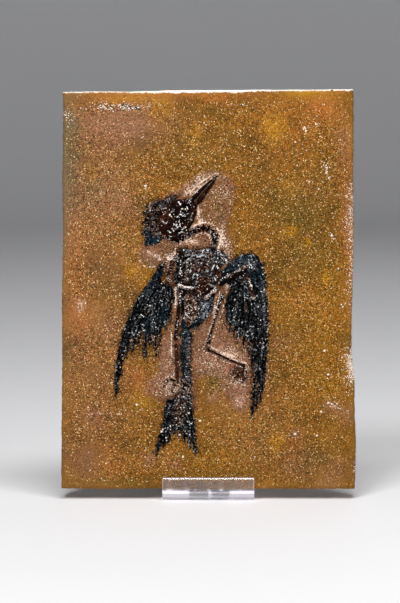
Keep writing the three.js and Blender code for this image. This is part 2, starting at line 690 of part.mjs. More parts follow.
// Where the slab's lower rear edge stands in the easel, in the side view's y and z, and what that
// asks of the easel
const seat = (() => {
  const footprint = SLAB_THICKNESS * Math.cos(LEAN);
  const rearEdge = new THREE.Vector2(footprint / 2 + 0.6, EASEL_SHEET + GAP);
  const lipInner = rearEdge.x - footprint - GAP;
  const outward = new THREE.Vector2(Math.cos(LEAN), -Math.sin(LEAN));
  const backFace = rearEdge.clone().addScaledVector(outward, GAP);
  return { rearEdge, lipInner, backFace };
})();

function leaningFace() {
  const face = new THREE.Group();
  face.rotation.x = Math.PI / 2 - LEAN;
  face.position.set(
    0,
    seat.rearEdge.x - SLAB_THICKNESS * Math.cos(LEAN),
    seat.rearEdge.y + SLAB_THICKNESS * Math.sin(LEAN),
  );
  face.add(named("slab", slab(), RESIN));
  face.add(named("skull", skull(), BONE));
  face.add(named("lower_bill", bill(...LOWER_BILL), BONE));
  face.add(
    named(
      "neck_vertebrae",
      vertebrae(NECK_LINE, NECK_VERTEBRAE, VERTEBRA_HALF_LENGTH, VERTEBRA_HALF_WIDTH),
      BONE,
    ),
  );
  face.add(named("ribcage", ribcage(), BONE));
  face.add(named("wishbone", wishbone(), BONE));
  face.add(named("breastbone", breastbone(), BONE));
  face.add(named("pelvis", pelvis(), BONE));
  for (const [name, [from, to, shaft, head]] of Object.entries(LONG_BONES)) {
    face.add(named(name, limb(from, to, shaft, head), BONE));
  }
  face.add(named("left_toes", toes(LEFT_TOES), BONE));
  face.add(named("right_toes", toes(RIGHT_TOES), BONE));
  face.add(named("crest_feathers", featherFilm(CREST_OUTLINE, CREST_PLUMES), FILM));
  face.add(named("body_feathers", featherFilm(BODY_OUTLINE, BODY_PLUMES), FILM));
  face.add(named("left_wing_feathers", featherFilm(LEFT_WING_OUTLINE, LEFT_WING_FEATHERS), FILM));
  face.add(named("right_wing_feathers", featherFilm(RIGHT_WING_OUTLINE, RIGHT_WING_FEATHERS), FILM));
  face.add(named("tail_feathers", featherFilm(TAIL_OUTLINE, TAIL_FEATHERS), FILM));
  return face;
}

const fossilBird = new THREE.Group();
fossilBird.add(leaningFace());
fossilBird.add(named("easel", easel(), ACRYLIC));

export default fossilBird;
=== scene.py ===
"""A small fossil bird on a cast resin slab, leaning in a clear bent easel.

Everything on the slab is drawn in the slab's own face frame, in millimetres: u runs to the right
from the slab's centre line, v runs up from its bottom edge, and h stands out of its front face.
The face frame then leans back into the easel, and lengths become metres.
"""

import logging
import math
from dataclasses import KW_ONLY, dataclass, field
from enum import Enum
from typing import Callable, Iterable, Sequence

import bpy
import numpy as np
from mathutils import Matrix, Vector


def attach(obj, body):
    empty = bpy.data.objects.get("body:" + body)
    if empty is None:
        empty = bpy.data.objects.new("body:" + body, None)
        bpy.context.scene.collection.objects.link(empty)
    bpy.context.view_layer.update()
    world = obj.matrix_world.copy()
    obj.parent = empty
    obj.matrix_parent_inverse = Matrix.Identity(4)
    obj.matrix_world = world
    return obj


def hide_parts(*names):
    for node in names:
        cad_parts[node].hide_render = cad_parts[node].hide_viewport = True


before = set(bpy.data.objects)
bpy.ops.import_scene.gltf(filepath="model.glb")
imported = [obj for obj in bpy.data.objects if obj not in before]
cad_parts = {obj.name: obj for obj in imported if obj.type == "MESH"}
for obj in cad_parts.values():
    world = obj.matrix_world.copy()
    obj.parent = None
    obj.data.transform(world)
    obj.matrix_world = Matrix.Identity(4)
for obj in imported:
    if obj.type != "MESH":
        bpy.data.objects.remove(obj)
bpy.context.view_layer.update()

log = logging.getLogger("fossil_bird")

Array = np.ndarray
Point = tuple[float, float]
Place = tuple[float, float, float]
Colour = tuple[float, float, float]
Stops = tuple[tuple[float, Colour], ...]
Faces = list[tuple[int, ...]]
Values = dict[str, Array]
Width = Callable[[Array], Array]
Material = bpy.types.Material
Node = bpy.types.Node
Socket = bpy.types.NodeSocket

MM = 0.001
TINY = 1e-9
QUARTER_TURN = math.pi / 2
FULL_TURN = 2 * math.pi

# Sizes of the slab
SLAB_WIDTH = 110.5
SLAB_HEIGHT = 150.3
SLAB_THICKNESS = 9.0
LEAN = math.radians(8)

# Sizes of the easel
EASEL_WIDTH = 34.5
EASEL_SHEET = 2.5
LIP_HEIGHT = 8.5
BACKREST_LENGTH = 62.0
REAR_LEG_ANGLE = math.radians(24)
TIGHT_BEND = 2.2
TOP_BEND = 6.0
SEAT_GAP = 0.3
HEEL_SHIFT = 0.6

# Levels above the front face
HALO_LEVEL = 0.6
FILM_LEVEL = 0.38
FILM_FLOOR = -0.35
BONE_LEVEL = 0.85
BONE_FOOT = BONE_LEVEL - 0.35
BONE_SKIRT = BONE_LEVEL - 0.6


class Slot(Enum):
    """Material slot names."""

    RESIN = "resin_matrix"
    BONE = "bone"
    FILM = "feather_film"
    ACRYLIC = "clear_acrylic"


class Stain(Enum):
    """Colours that bloom through the resin, each a value kept on the slab's points."""

    YELLOW = "yellow"
    ORANGE = "orange"
    PINK = "pink"
    GREY = "grey"
    OLIVE = "olive"
    RUST = "rust"


@dataclass(frozen=True)
class FaceFrame:
    """The leaning frame of the slab's front face."""

    lean: float = LEAN
    thickness: float = SLAB_THICKNESS

    @property
    def rear_edge(self) -> Point:
        """Where the slab's lower rear edge stands, in y and z."""
        footprint = self.thickness * math.cos(self.lean)
        return footprint / 2 + HEEL_SHIFT, EASEL_SHEET + SEAT_GAP

    def to_world(self, face_points: Array) -> Array:
        """Turns face points into world points.

        Args:
            face_points: rows of u, v and h in millimetres.

        Returns:
            Rows of x, y and z in metres.
        """
        y, z = self.rear_edge
        y -= self.thickness * math.cos(self.lean)
        z += self.thickness * math.sin(self.lean)
        u, v, h = face_points.T
        world = np.empty_like(face_points, dtype=float)
        world[:, 0] = u
        world[:, 1] = y + v * math.sin(self.lean) - h * math.cos(self.lean)
        world[:, 2] = z + v * math.cos(self.lean) + h * math.sin(self.lean)
        return world * MM


FACE = FaceFrame()


# Noise and soft steps


def lattice(column: Array, row: Array, seed: int) -> Array:
    """Repeatable values from -1 to 1 for whole-number places.

    Args:
        column: whole numbers across.
        row: whole numbers up.
        seed: picks one pattern.

    Returns:
        One value for each place.
    """
    mixed = (column * 374761393 + row * 668265263 + seed * 974634777) & 0xFFFFFFFF
    mixed = ((mixed ^ (mixed >> 13)) * 1274126177) & 0xFFFFFFFF
    return ((mixed ^ (mixed >> 16)) & 0xFFFF) / 32767.5 - 1.0


def noise(u: Array, v: Array, cell: float, seed: int, octaves: int = 1) -> Array:
    """Smooth noise of about -1 to 1.

    Args:
        u: places across.
        v: places up.
        cell: size of the widest features, in the units of u and v.
        seed: picks one pattern.
        octaves: how many times finer and weaker detail is added.

    Returns:
        One value for each place.
    """
    total = np.zeros(np.shape(u))
    strength = 1.0
    for octave in range(octaves):
        x, y = np.asarray(u) / cell, np.asarray(v) / cell
        column, row = np.floor(x).astype(np.int64), np.floor(y).astype(np.int64)
        fx, fy = x - column, y - row
        sx, sy = fx * fx * (3 - 2 * fx), fy * fy * (3 - 2 * fy)
        low = lattice(column, row, seed) * (1 - sx) + lattice(column + 1, row, seed) * sx
        high = lattice(column, row + 1, seed) * (1 - sx) + lattice(column + 1, row + 1, seed) * sx
        total += strength * (low * (1 - sy) + high * sy)
        strength *= 0.5
        cell *= 0.5
        seed += 17
    return total


def smooth_step(low: float, high: float, value: Array) -> Array:
    """A soft step from 0 at low to 1 at high."""
    share = np.clip((value - low) / (high - low), 0.0, 1.0)
    return share * share * (3 - 2 * share)


def bell(offset: Array, width: float) -> Array:
    """A soft hump, 1 where the offset is 0."""
    return np.exp(-((offset / width) ** 2))


def dome(depth: Array, shoulder: float) -> Array:
    """A round rise from 0 at an edge to 1 at the shoulder's depth."""
    return np.sqrt(np.clip(1 - (1 - np.clip(depth / shoulder, 0, 1)) ** 2, 0, 1))


def unit_clip(value: Array) -> Array:
    """The value held between 0 and 1."""
    return np.clip(value, 0.0, 1.0)


# Lines over the face


def pairs(numbers: Sequence[float]) -> tuple[Point, ...]:
    """Numbers taken two by two, as points."""
    return tuple(zip(numbers[::2], numbers[1::2]))


def rounded_line(padded: Array, steps: int) -> Array:
    """A smooth line through the points, from the second to the last but one.

    Args:
        padded: rows of points, with one more at each end.
        steps: how many parts each stretch has.

    Returns:
        Rows of points.
    """
    before, here, after, beyond = padded[:-3], padded[1:-2], padded[2:-1], padded[3:]
    rows = []
    for t in np.arange(steps) / steps:
        bend = (2 * before - 5 * here + 4 * after - beyond) * t**2
        twist = (3 * here - before - 3 * after + beyond) * t**3
        rows.append(0.5 * (2 * here + (after - before) * t + bend + twist))
    return np.vstack([np.stack(rows, axis=1).reshape(-1, 2), padded[-2:-1]])


def open_curve(points: Iterable[Point]) -> Array:
    """A rounded open line through the points, as rows of points.

    Args:
        points: the points.

    Returns:
        Rows of points.
    """
    corners = np.array(list(points), dtype=float)
    if len(corners) < 3:
        return corners
    first = 2 * corners[0] - corners[1]
    last = 2 * corners[-1] - corners[-2]
    return rounded_line(np.vstack([first, corners, last]), 6)


def curve_through(root: Point, control: Point, tip: Point, steps: int) -> Array:
    """Rows of points of a quadratic curve from the root to the tip.

    Args:
        root: where it starts.
        control: the point it bends towards.
        tip: where it ends.
        steps: how many parts it has.

    Returns:
        Rows of points.
    """
    t = np.linspace(0.0, 1.0, steps + 1)[:, None]
    p, q, r = (np.array(point, dtype=float) for point in (root, control, tip))
    return (1 - t) ** 2 * p + 2 * t * (1 - t) * q + t**2 * r


def length_of(line: Array) -> float:
    """The length of a line of points."""
    return float(np.hypot(*np.diff(line, axis=0).T).sum())


def resampled(line: Array, spacing: float) -> Array:
    """The same line with points about one spacing apart.

    Args:
        line: rows of points.
        spacing: the length between two new points.

    Returns:
        Rows of points, at least five.
    """
    steps = np.hypot(*np.diff(line, axis=0).T)
    along = np.concatenate([[0.0], np.cumsum(steps)])
    count = max(4, int(round(along[-1] / spacing)))
    places = np.linspace(0.0, along[-1], count + 1)
    return np.stack([np.interp(places, along, line[:, k]) for k in range(2)], axis=1)


def left_of(direction: Array) -> Array:
    """The direction turned a quarter turn to the left."""
    return np.array([-direction[1], direction[0]])


def turned(direction: Array, angle: float) -> Array:
    """The direction turned by an angle."""
    c, s = math.cos(angle), math.sin(angle)
    return np.array([direction[0] * c - direction[1] * s, direction[0] * s + direction[1] * c])


def unit(vector: Array) -> Array:
    """A vector of length 1."""
    return vector / np.linalg.norm(vector)


@dataclass
class Nearest:
    """How each place lies to the nearest point of a line."""

    distance: Array
    along: Array
    side: Array


def nearest_on_line(u: Array, v: Array, line: Array) -> Nearest:
    """Finds the nearest point of a line.

    Args:
        u: places across.
        v: places up.
        line: rows of points.

    Returns:
        The distance, the length along the line, and the side, 1 on its left and -1 on its right.
    """
    found = Nearest(np.full(u.shape, np.inf), np.zeros(u.shape), np.ones(u.shape))
    start = 0.0
    for (u0, v0), (u1, v1) in zip(line[:-1], line[1:]):
        du, dv = u1 - u0, v1 - v0
        length = math.hypot(du, dv)
        if length < TINY:
            continue
        share = np.clip(((u - u0) * du + (v - v0) * dv) / length**2, 0.0, 1.0)
        off_u, off_v = u - (u0 + share * du), v - (v0 + share * dv)
        distance = np.hypot(off_u, off_v)
        closer = distance < found.distance
        found.distance = np.where(closer, distance, found.distance)
        found.along = np.where(closer, start + share * length, found.along)
        found.side = np.where(closer, np.sign(du * off_v - dv * off_u), found.side)
        start += length
    return found


@dataclass(frozen=True)
class Outline:
    """A closed outline, rounded through its points."""

    points: tuple[Point, ...]
    rounded: bool = True

    def line(self) -> Array:
        """The outline as rows of points, the last one equal to the first.

        Returns:
            Rows of points.
        """
        corners = np.array(self.points, dtype=float)
        if not self.rounded:
            return np.vstack([corners, corners[:1]])
        return rounded_line(np.vstack([corners[-1:], corners, corners[:2]]), 4)

    def depth(self, u: Array, v: Array) -> Array:
        """How deep each place lies inside the outline.

        Args:
            u: places across.
            v: places up.

        Returns:
            The distance to the outline, less than 0 outside it.
        """
        line = self.line()
        inside = np.zeros(u.shape, dtype=bool)
        for (u0, v0), (u1, v1) in zip(line[:-1], line[1:]):
            if v0 == v1:
                continue
            crosses = (v0 > v) != (v1 > v)
            inside ^= crosses & (u < (u1 - u0) * (v - v0) / (v1 - v0) + u0)
        distance = nearest_on_line(u, v, line).distance
        return np.where(inside, distance, -distance)


@dataclass(frozen=True)
class Stroke:
    """A line drawn on the face, as wide as a brush."""

    half_width: float
    points: tuple[Point, ...]


def strokes(*rows: tuple[float, ...]) -> tuple[Stroke, ...]:
    """Strokes, each from a row of half its width and then u and v of its points."""
    return tuple(Stroke(row[0], pairs(row[1:])) for row in rows)


def on_strokes(drawn: tuple[Stroke, ...], u: Array, v: Array) -> Array:
    """How near each place is to one of the strokes.

    Args:
        drawn: the strokes.
        u: places across.
        v: places up.

    Returns:
        1 on a stroke's middle, half that at its edge, and 0 far from all of them.
    """
    best = np.zeros(u.shape)
    for stroke in drawn:
        distance = nearest_on_line(u, v, open_curve(stroke.points)).distance
        best = np.maximum(best, 1 - 0.5 * distance / stroke.half_width)
    return best


@dataclass(frozen=True)
class Spot:
    """A soft round patch of some value."""

    u: float
    v: float
    radius: float
    strength: float = 1.0
    across: float = 1.0
    up: float = 1.0

    def value(self, u: Array, v: Array) -> Array:
        """The patch's value at each place.

        Args:
            u: places across.
            v: places up.

        Returns:
            One value for each place.
        """
        across = (u - self.u) / (self.radius * self.across)
        up = (v - self.v) / (self.radius * self.up)
        return self.strength * np.exp(-(across**2 + up**2))


def spots(*rows: tuple[float, ...]) -> tuple[Spot, ...]:
    """Spots, each from a row of u, v, radius, strength, and its stretch across and up."""
    return tuple(Spot(*row) for row in rows)


def sum_of_spots(patches: tuple[Spot, ...], u: Array, v: Array) -> Array:
    """All the spots' values together, with ragged edges.

    Args:
        patches: the spots.
        u: places across.
        v: places up.

    Returns:
        One value for each place, at most 1.
    """
    warp_u, warp_v = noise(u, v, 4.5, 71, 2), noise(u, v, 4.5, 93, 2)
    total = np.zeros(u.shape)
    for spot in patches:
        reach = min(1.6, 0.3 * spot.radius)
        total += spot.value(u + reach * warp_u, v + reach * warp_v)
    return unit_clip(total)


# Meshes


@dataclass
class Draft:
    """A mesh being drawn in the face frame, with values kept on its points."""

    points: Array
    faces: Faces
    values: Values = field(default_factory=dict)

    def extend(self, points: Array) -> list[int]:
        """Adds points, on which each kept value is 0, and gives their numbers.

        Args:
            points: rows of points.

        Returns:
            The new points' numbers.
        """
        start = len(self.points)
        self.points = np.vstack([self.points, points])
        for name, kept in self.values.items():
            self.values[name] = np.pad(kept, (0, len(points)))
        return list(range(start, len(self.points)))


def joined(drafts: list[Draft]) -> Draft:
    """Many drafts as one, with 0 where one of them keeps no value of a name.

    Args:
        drafts: the drafts.

    Returns:
        The joined draft.
    """
    faces: Faces = []
    shift = 0
    for draft in drafts:
        faces += [tuple(index + shift for index in face) for face in draft.faces]
        shift += len(draft.points)
    values = {
        name: np.concatenate([d.values.get(name, np.zeros(len(d.points))) for d in drafts])
        for name in sorted({key for draft in drafts for key in draft.values})
    }
    return Draft(np.vstack([draft.points for draft in drafts]), faces, values)


def publish(
    name: str,
    draft: Draft,
    finish: Material,
    nodes: tuple[str, ...] = (),
    smooth: bool = True,
    on_face: bool = True,
) -> None:
    """Makes the object, dresses it and puts it on the body.

    Args:
        name: the piece's name.
        draft: its mesh, in millimetres.
        finish: its material.
        nodes: the CAD nodes that the piece stands for.
        smooth: whether its faces are shaded smooth.
        on_face: whether its points are in the face frame, or else in the world.
    """
    world = FACE.to_world(draft.points) if on_face else draft.points * MM
    mesh = bpy.data.meshes.new(name)
    mesh.from_pydata(world.tolist(), [], draft.faces)
    for key, values in draft.values.items():
        attribute = mesh.attributes.new(key, "FLOAT", "POINT")
        attribute.data.foreach_set("value", np.asarray(values, dtype=np.float32))
    mesh.polygons.foreach_set("use_smooth", [smooth] * len(mesh.polygons))
    mesh.materials.append(finish)
    mesh.validate()
    mesh.update()
    piece = bpy.data.objects.new(name, mesh)
    bpy.context.scene.collection.objects.link(piece)
    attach(piece, "root")
    if nodes:
        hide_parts(*nodes)
    log.info("%s: %d points, %d faces", name, len(mesh.vertices), len(mesh.polygons))


def stacked(*columns: Array) -> Array:
    """Grids of u, v and h as rows of points, or of corner numbers as rows of faces."""
    return np.stack([column.ravel() for column in columns], axis=1)


def corners_of(index: Array) -> tuple[Array, Array, Array, Array]:
    """The four corners of each cell of a grid of point numbers, anticlockwise."""
    return index[:-1, :-1], index[:-1, 1:], index[1:, 1:], index[1:, :-1]


def border_of(index: Array) -> list[int]:
    """The border of a grid of point numbers, anticlockwise from the bottom left corner.

    Args:
        index: the point numbers, in rows and columns.

    Returns:
        The border's numbers.
    """
    return [
        *index[0, :-1].tolist(), *index[:-1, -1].tolist(),
        *index[-1, :0:-1].tolist(), *index[:0:-1, 0].tolist(),
    ]


def band(first: Sequence[int], second: Sequence[int]) -> Faces:
    """Faces between two closed rings of point numbers.

    Args:
        first: one ring.
        second: the other ring.

    Returns:
        The faces.
    """
    count = len(first)
    ahead = [(k + 1) % count for k in range(count)]
    return [(first[k], second[k], second[n], first[n]) for k, n in enumerate(ahead)]


def without_corner_contacts(keep: Array) -> Array:
    """Fills cells of a mask until no two kept cells meet at a corner alone.

    Args:
        keep: the mask.

    Returns:
        The filled mask.
    """
    keep = keep.copy()
    for _ in range(8):
        a, b, c, d = keep[:-1, :-1], keep[:-1, 1:], keep[1:, :-1], keep[1:, 1:]
        rising = a & d & ~b & ~c
        falling = b & c & ~a & ~d
        if not (rising.any() or falling.any()):
            break
        keep[:-1, 1:] |= rising
        keep[:-1, :-1] |= falling
    return keep


@dataclass(frozen=True)
class ReliefGrid:
    """A fine grid over part of the face, from which closed relief patches are cut."""

    low: Point
    high: Point
    cell: float
    wall: float = 0.02
    sunk: float = 0.05

    @classmethod
    def over(cls, points: Array, margin: float, cell: float) -> "ReliefGrid":
        """A grid that covers the points and a margin round them."""
        return cls(tuple(points.min(axis=0) - margin), tuple(points.max(axis=0) + margin), cell)

    def places(self) -> tuple[Array, Array]:
        """The grid's u and v, each as rows and columns.

        Returns:
            Two grids of places.
        """
        u, v = (
            low + self.cell * np.arange(int(math.ceil((high - low) / self.cell)) + 1)
            for low, high in zip(self.low, self.high)
        )
        return np.meshgrid(u, v)

    def patch(self, height: Array, floor: float, values: Values) -> Draft:
        """Cuts a closed patch where the height stands above its floor.

        Args:
            height: the top's h at each place; at the floor or under it there is no patch.
            floor: the h of its underside.
            values: values to keep on the points.

        Returns:
            The patch, closed by walls and an underside.
        """
        u, v = self.places()
        stands = height > floor + 1e-6
        keep = stands[:-1, :-1] | stands[1:, :-1] | stands[:-1, 1:] | stands[1:, 1:]
        keep = without_corner_contacts(keep)
        used = np.zeros(u.shape, dtype=bool)
        for rows in (slice(None, -1), slice(1, None)):
            for columns in (slice(None, -1), slice(1, None)):
                used[rows, columns] |= keep
        index = np.full(u.shape, -1, dtype=int)
        count = int(used.sum())
        index[used] = np.arange(count)
        top = np.stack([u[used], v[used], np.maximum(height[used], floor + self.wall)], axis=1)
        base = top.copy()
        base[:, 2] = floor - self.sunk
        a, b, c, d = corners_of(index)
        quads = [stacked(a[keep], b[keep], c[keep], d[keep])]
        quads.append(stacked(d[keep], c[keep], b[keep], a[keep]) + count)
        padded = np.pad(keep, 1)
        for beside, start, end in (
            (padded[:-2, 1:-1], a, b),
            (padded[1:-1, 2:], b, c),
            (padded[2:, 1:-1], c, d),
            (padded[1:-1, :-2], d, a),
        ):
            edge = keep & ~beside
            s, e = start[edge], end[edge]
            quads.append(np.stack([s + count, e + count, e, s], axis=1))
        faces = [tuple(row) for row in np.vstack(quads).tolist()]
        kept = {name: np.tile(array[used], 2) for name, array in values.items()}
        return Draft(np.vstack([top, base]), faces, kept)


@dataclass(frozen=True)
class Tube:
    """A closed solid swept along a line that lies on the face.

    Its section is an oval whose half width and half height change along the length.
    """

    line: Array
    half_width: Width
    flatness: float = 0.85
    level: float = BONE_LEVEL
    sides: int = 14
    spacing: float = 0.3
    roughness: float = 0.07
    seed: int = 1

    def draft(self) -> Draft:
        """Draws the tube, with a point at each end.

        Returns:
            The drawn tube.
        """
        line = resampled(self.line, self.spacing)
        share = np.linspace(0.0, 1.0, len(line))
        tangent = np.gradient(line, axis=0)
        tangent /= np.linalg.norm(tangent, axis=1, keepdims=True)
        across = np.stack([-tangent[:, 1], tangent[:, 0]], axis=1)
        inner = slice(1, -1)
        width = self.half_width(share[inner])
        angle = FULL_TURN * np.arange(self.sides) / self.sides
        along = (share[inner] * length_of(line))[:, None]
        around = 1.4 * np.sin(angle)[None, :] + 3.1 * np.cos(angle)[None, :]
        bump = noise(along + 0 * angle, around + 0 * along, 0.7, self.seed, 2)
        reach = width[:, None] * (1 + self.roughness * bump)
        sideways = reach * np.cos(angle)
        rings = np.empty((len(width), self.sides, 3))
        for k in range(2):
            rings[:, :, k] = line[inner, k][:, None] + across[inner, k][:, None] * sideways
        rings[:, :, 2] = self.level + reach * np.sin(angle) * self.flatness
        ends = [[*line[0], self.level], rings.reshape(-1, 3), [*line[-1], self.level]]
        return Draft(np.vstack(ends), self._faces(len(width)))

    def _faces(self, rings: int) -> Faces:
        """Faces of the tube, whose first and last points are its ends.

        Args:
            rings: how many rings it has.

        Returns:
            The faces.
        """
        faces: Faces = []
        sides = self.sides
        last = rings * sides + 1
        for k in range(sides):
            following = (k + 1) % sides
            faces.append((0, 1 + following, 1 + k))
            faces.append((last, last - sides + k, last - sides + following))
            for i in range(rings - 1):
                here, ahead = 1 + i * sides, 1 + (i + 1) * sides
                faces.append((here + k, here + following, ahead + following, ahead + k))
        return faces


def limb_width(length: float, shaft: float, head: float) -> Width:
    """Half the width of a limb bone: a slim shaft between two rounded heads.

    Args:
        length: the bone's length.
        shaft: half the shaft's width.
        head: half the width of each head.

    Returns:
        Half the width at a share of the length.
    """

    def width(share: Array) -> Array:
        """Half the width at a share of the length.

        Args:
            share: shares of the length.

        Returns:
            Half the width at each share.
        """
        from_end = np.minimum(share, 1 - share) * length
        rounding = np.minimum(1.0, from_end / (0.8 * head)) ** 0.5
        return (shaft + (head - shaft) * bell(from_end, 1.6 * head)) * rounding

    return width


def taper_width(root: float, tip: float) -> Width:
    """Half the width of a spike: full at its root and slim at its tip.

    Args:
        root: half the width at the root.
        tip: half the width at the tip.

    Returns:
        Half the width at a share of the length.
    """

    def width(share: Array) -> Array:
        """Half the width at a share of the length."""
        ends = np.minimum(1.0, share * 6) ** 0.5 * np.minimum(1.0, (1 - share) * 8) ** 0.5
        return (root + (tip - root) * share) * ends

    return width


# Shader building


def opaque(colour: Colour) -> tuple[float, float, float, float]:
    """A colour with full alpha."""
    return (*colour[:3], 1.0)


class Tree:
    """Small helper around one node tree."""

    def __init__(self, tree: bpy.types.NodeTree) -> None:
        """Keeps the tree."""
        self.tree = tree

    def add(self, kind: str, **settings: object) -> Node:
        """Adds one node and sets its properties.

        Args:
            kind: the node's type.
            settings: its properties.

        Returns:
            The node.
        """
        node = self.tree.nodes.new(kind)
        for key, value in settings.items():
            setattr(node, key, value)
        return node

    def link(self, source: Socket, target: Socket) -> None:
        """Links two sockets."""
        self.tree.links.new(source, target)

    def feed(self, target: Socket, value: object) -> None:
        """Links a socket, or sets a plain value, on the target.

        Args:
            target: the input.
            value: a socket or a value.
        """
        if isinstance(value, Socket):
            self.link(value, target)
        else:
            target.default_value = opaque(value) if isinstance(value, tuple) else value

    def maths(self, operation: str, *values: object, clamp: bool = False) -> Socket:
        """One step of arithmetic.

        Args:
            operation: the step's name.
            values: what it works on.
            clamp: whether the result is held from 0 to 1.

        Returns:
            The result.
        """
        node = self.add("ShaderNodeMath", operation=operation, use_clamp=clamp)
        for socket, value in zip(node.inputs, values):
            self.feed(socket, value)
        return node.outputs[0]

    def times(self, value: object, factor: object) -> Socket:
        """A product."""
        return self.maths("MULTIPLY", value, factor)

    def line(self, value: object, factor: object, start: object, clamp: bool = False) -> Socket:
        """A product and a sum: the value times the factor, plus the start."""
        return self.maths("MULTIPLY_ADD", value, factor, start, clamp=clamp)

    def blend(self, *parts: tuple[object, float], start: float = 0.0) -> Socket:
        """A weighted sum, with each part measured from its middle, 0.5.

        Args:
            parts: pairs of a value and its weight.
            start: added to the sum, whose middle is 0.5.

        Returns:
            The sum.
        """
        total: object = start + 0.5
        for value, weight in parts:
            total = self.line(self.maths("SUBTRACT", value, 0.5), weight, total)
        return total

    def between(self, value: object, low: object, high: object) -> Socket:
        """A soft step from 0 at low to 1 at high.

        Args:
            value: what is measured.
            low: where the step starts.
            high: where the step ends.

        Returns:
            The step's value.
        """
        node = self.add("ShaderNodeMapRange", interpolation_type="SMOOTHSTEP")
        for name, given in (("Value", value), ("From Min", low), ("From Max", high)):
            self.feed(node.inputs[name], given)
        return node.outputs["Result"]

    def mix(self, share: object, under: object, over: object, way: str = "MIX") -> Socket:
        """One colour over another.

        Args:
            share: how much of the upper colour shows.
            under: the lower colour.
            over: the upper colour.
            way: how the two are blended.

        Returns:
            The colour.
        """
        node = self.add("ShaderNodeMix", data_type="RGBA", blend_type=way)
        for place, value in ((0, share), (6, under), (7, over)):
            self.feed(node.inputs[place], value)
        return node.outputs[2]

    def ramp(self, value: object, stops: Stops) -> Socket:
        """Colours along a value.

        Args:
            value: what picks the colour.
            stops: pairs of a place along the value and its colour.

        Returns:
            The colour.
        """
        node = self.add("ShaderNodeValToRGB")
        elements = node.color_ramp.elements
        while len(elements) < len(stops):
            elements.new(0.5)
        for element, (place, colour) in zip(elements, stops):
            element.position = place
            element.color = opaque(colour)
        self.feed(node.inputs[0], value)
        return node.outputs[0]

    def kept(self, name: str) -> Socket:
        """A value kept on the mesh's points."""
        return self.add("ShaderNodeAttribute", attribute_name=name).outputs["Fac"]

    def broken(self, name: str, grain: object) -> Socket:
        """A mask over the places where a kept value is high, broken up by the grain."""
        return self.between(self.blend((self.kept(name), 1.0), (grain, 1.1)), 0.5, 1.0)

    def group(self, tree: bpy.types.NodeTree, **inputs: object) -> Node:
        """Places a node group with its own values.

        Args:
            tree: the group's tree.
            inputs: values, by socket name.

        Returns:
            The node.
        """
        node = self.add("ShaderNodeGroup", node_tree=tree)
        for key, value in inputs.items():
            self.feed(node.inputs[key], value)
        return node

    def specked(
        self, specks: bpy.types.NodeTree, under: Socket, paint: Colour, share: object,
        size: float, shift: float,
    ) -> Socket:
        """Specks of one paint over a colour."""
        node = self.group(specks, Size=size, Share=share, Shift=shift)
        return self.mix(node.outputs[0], under, paint)


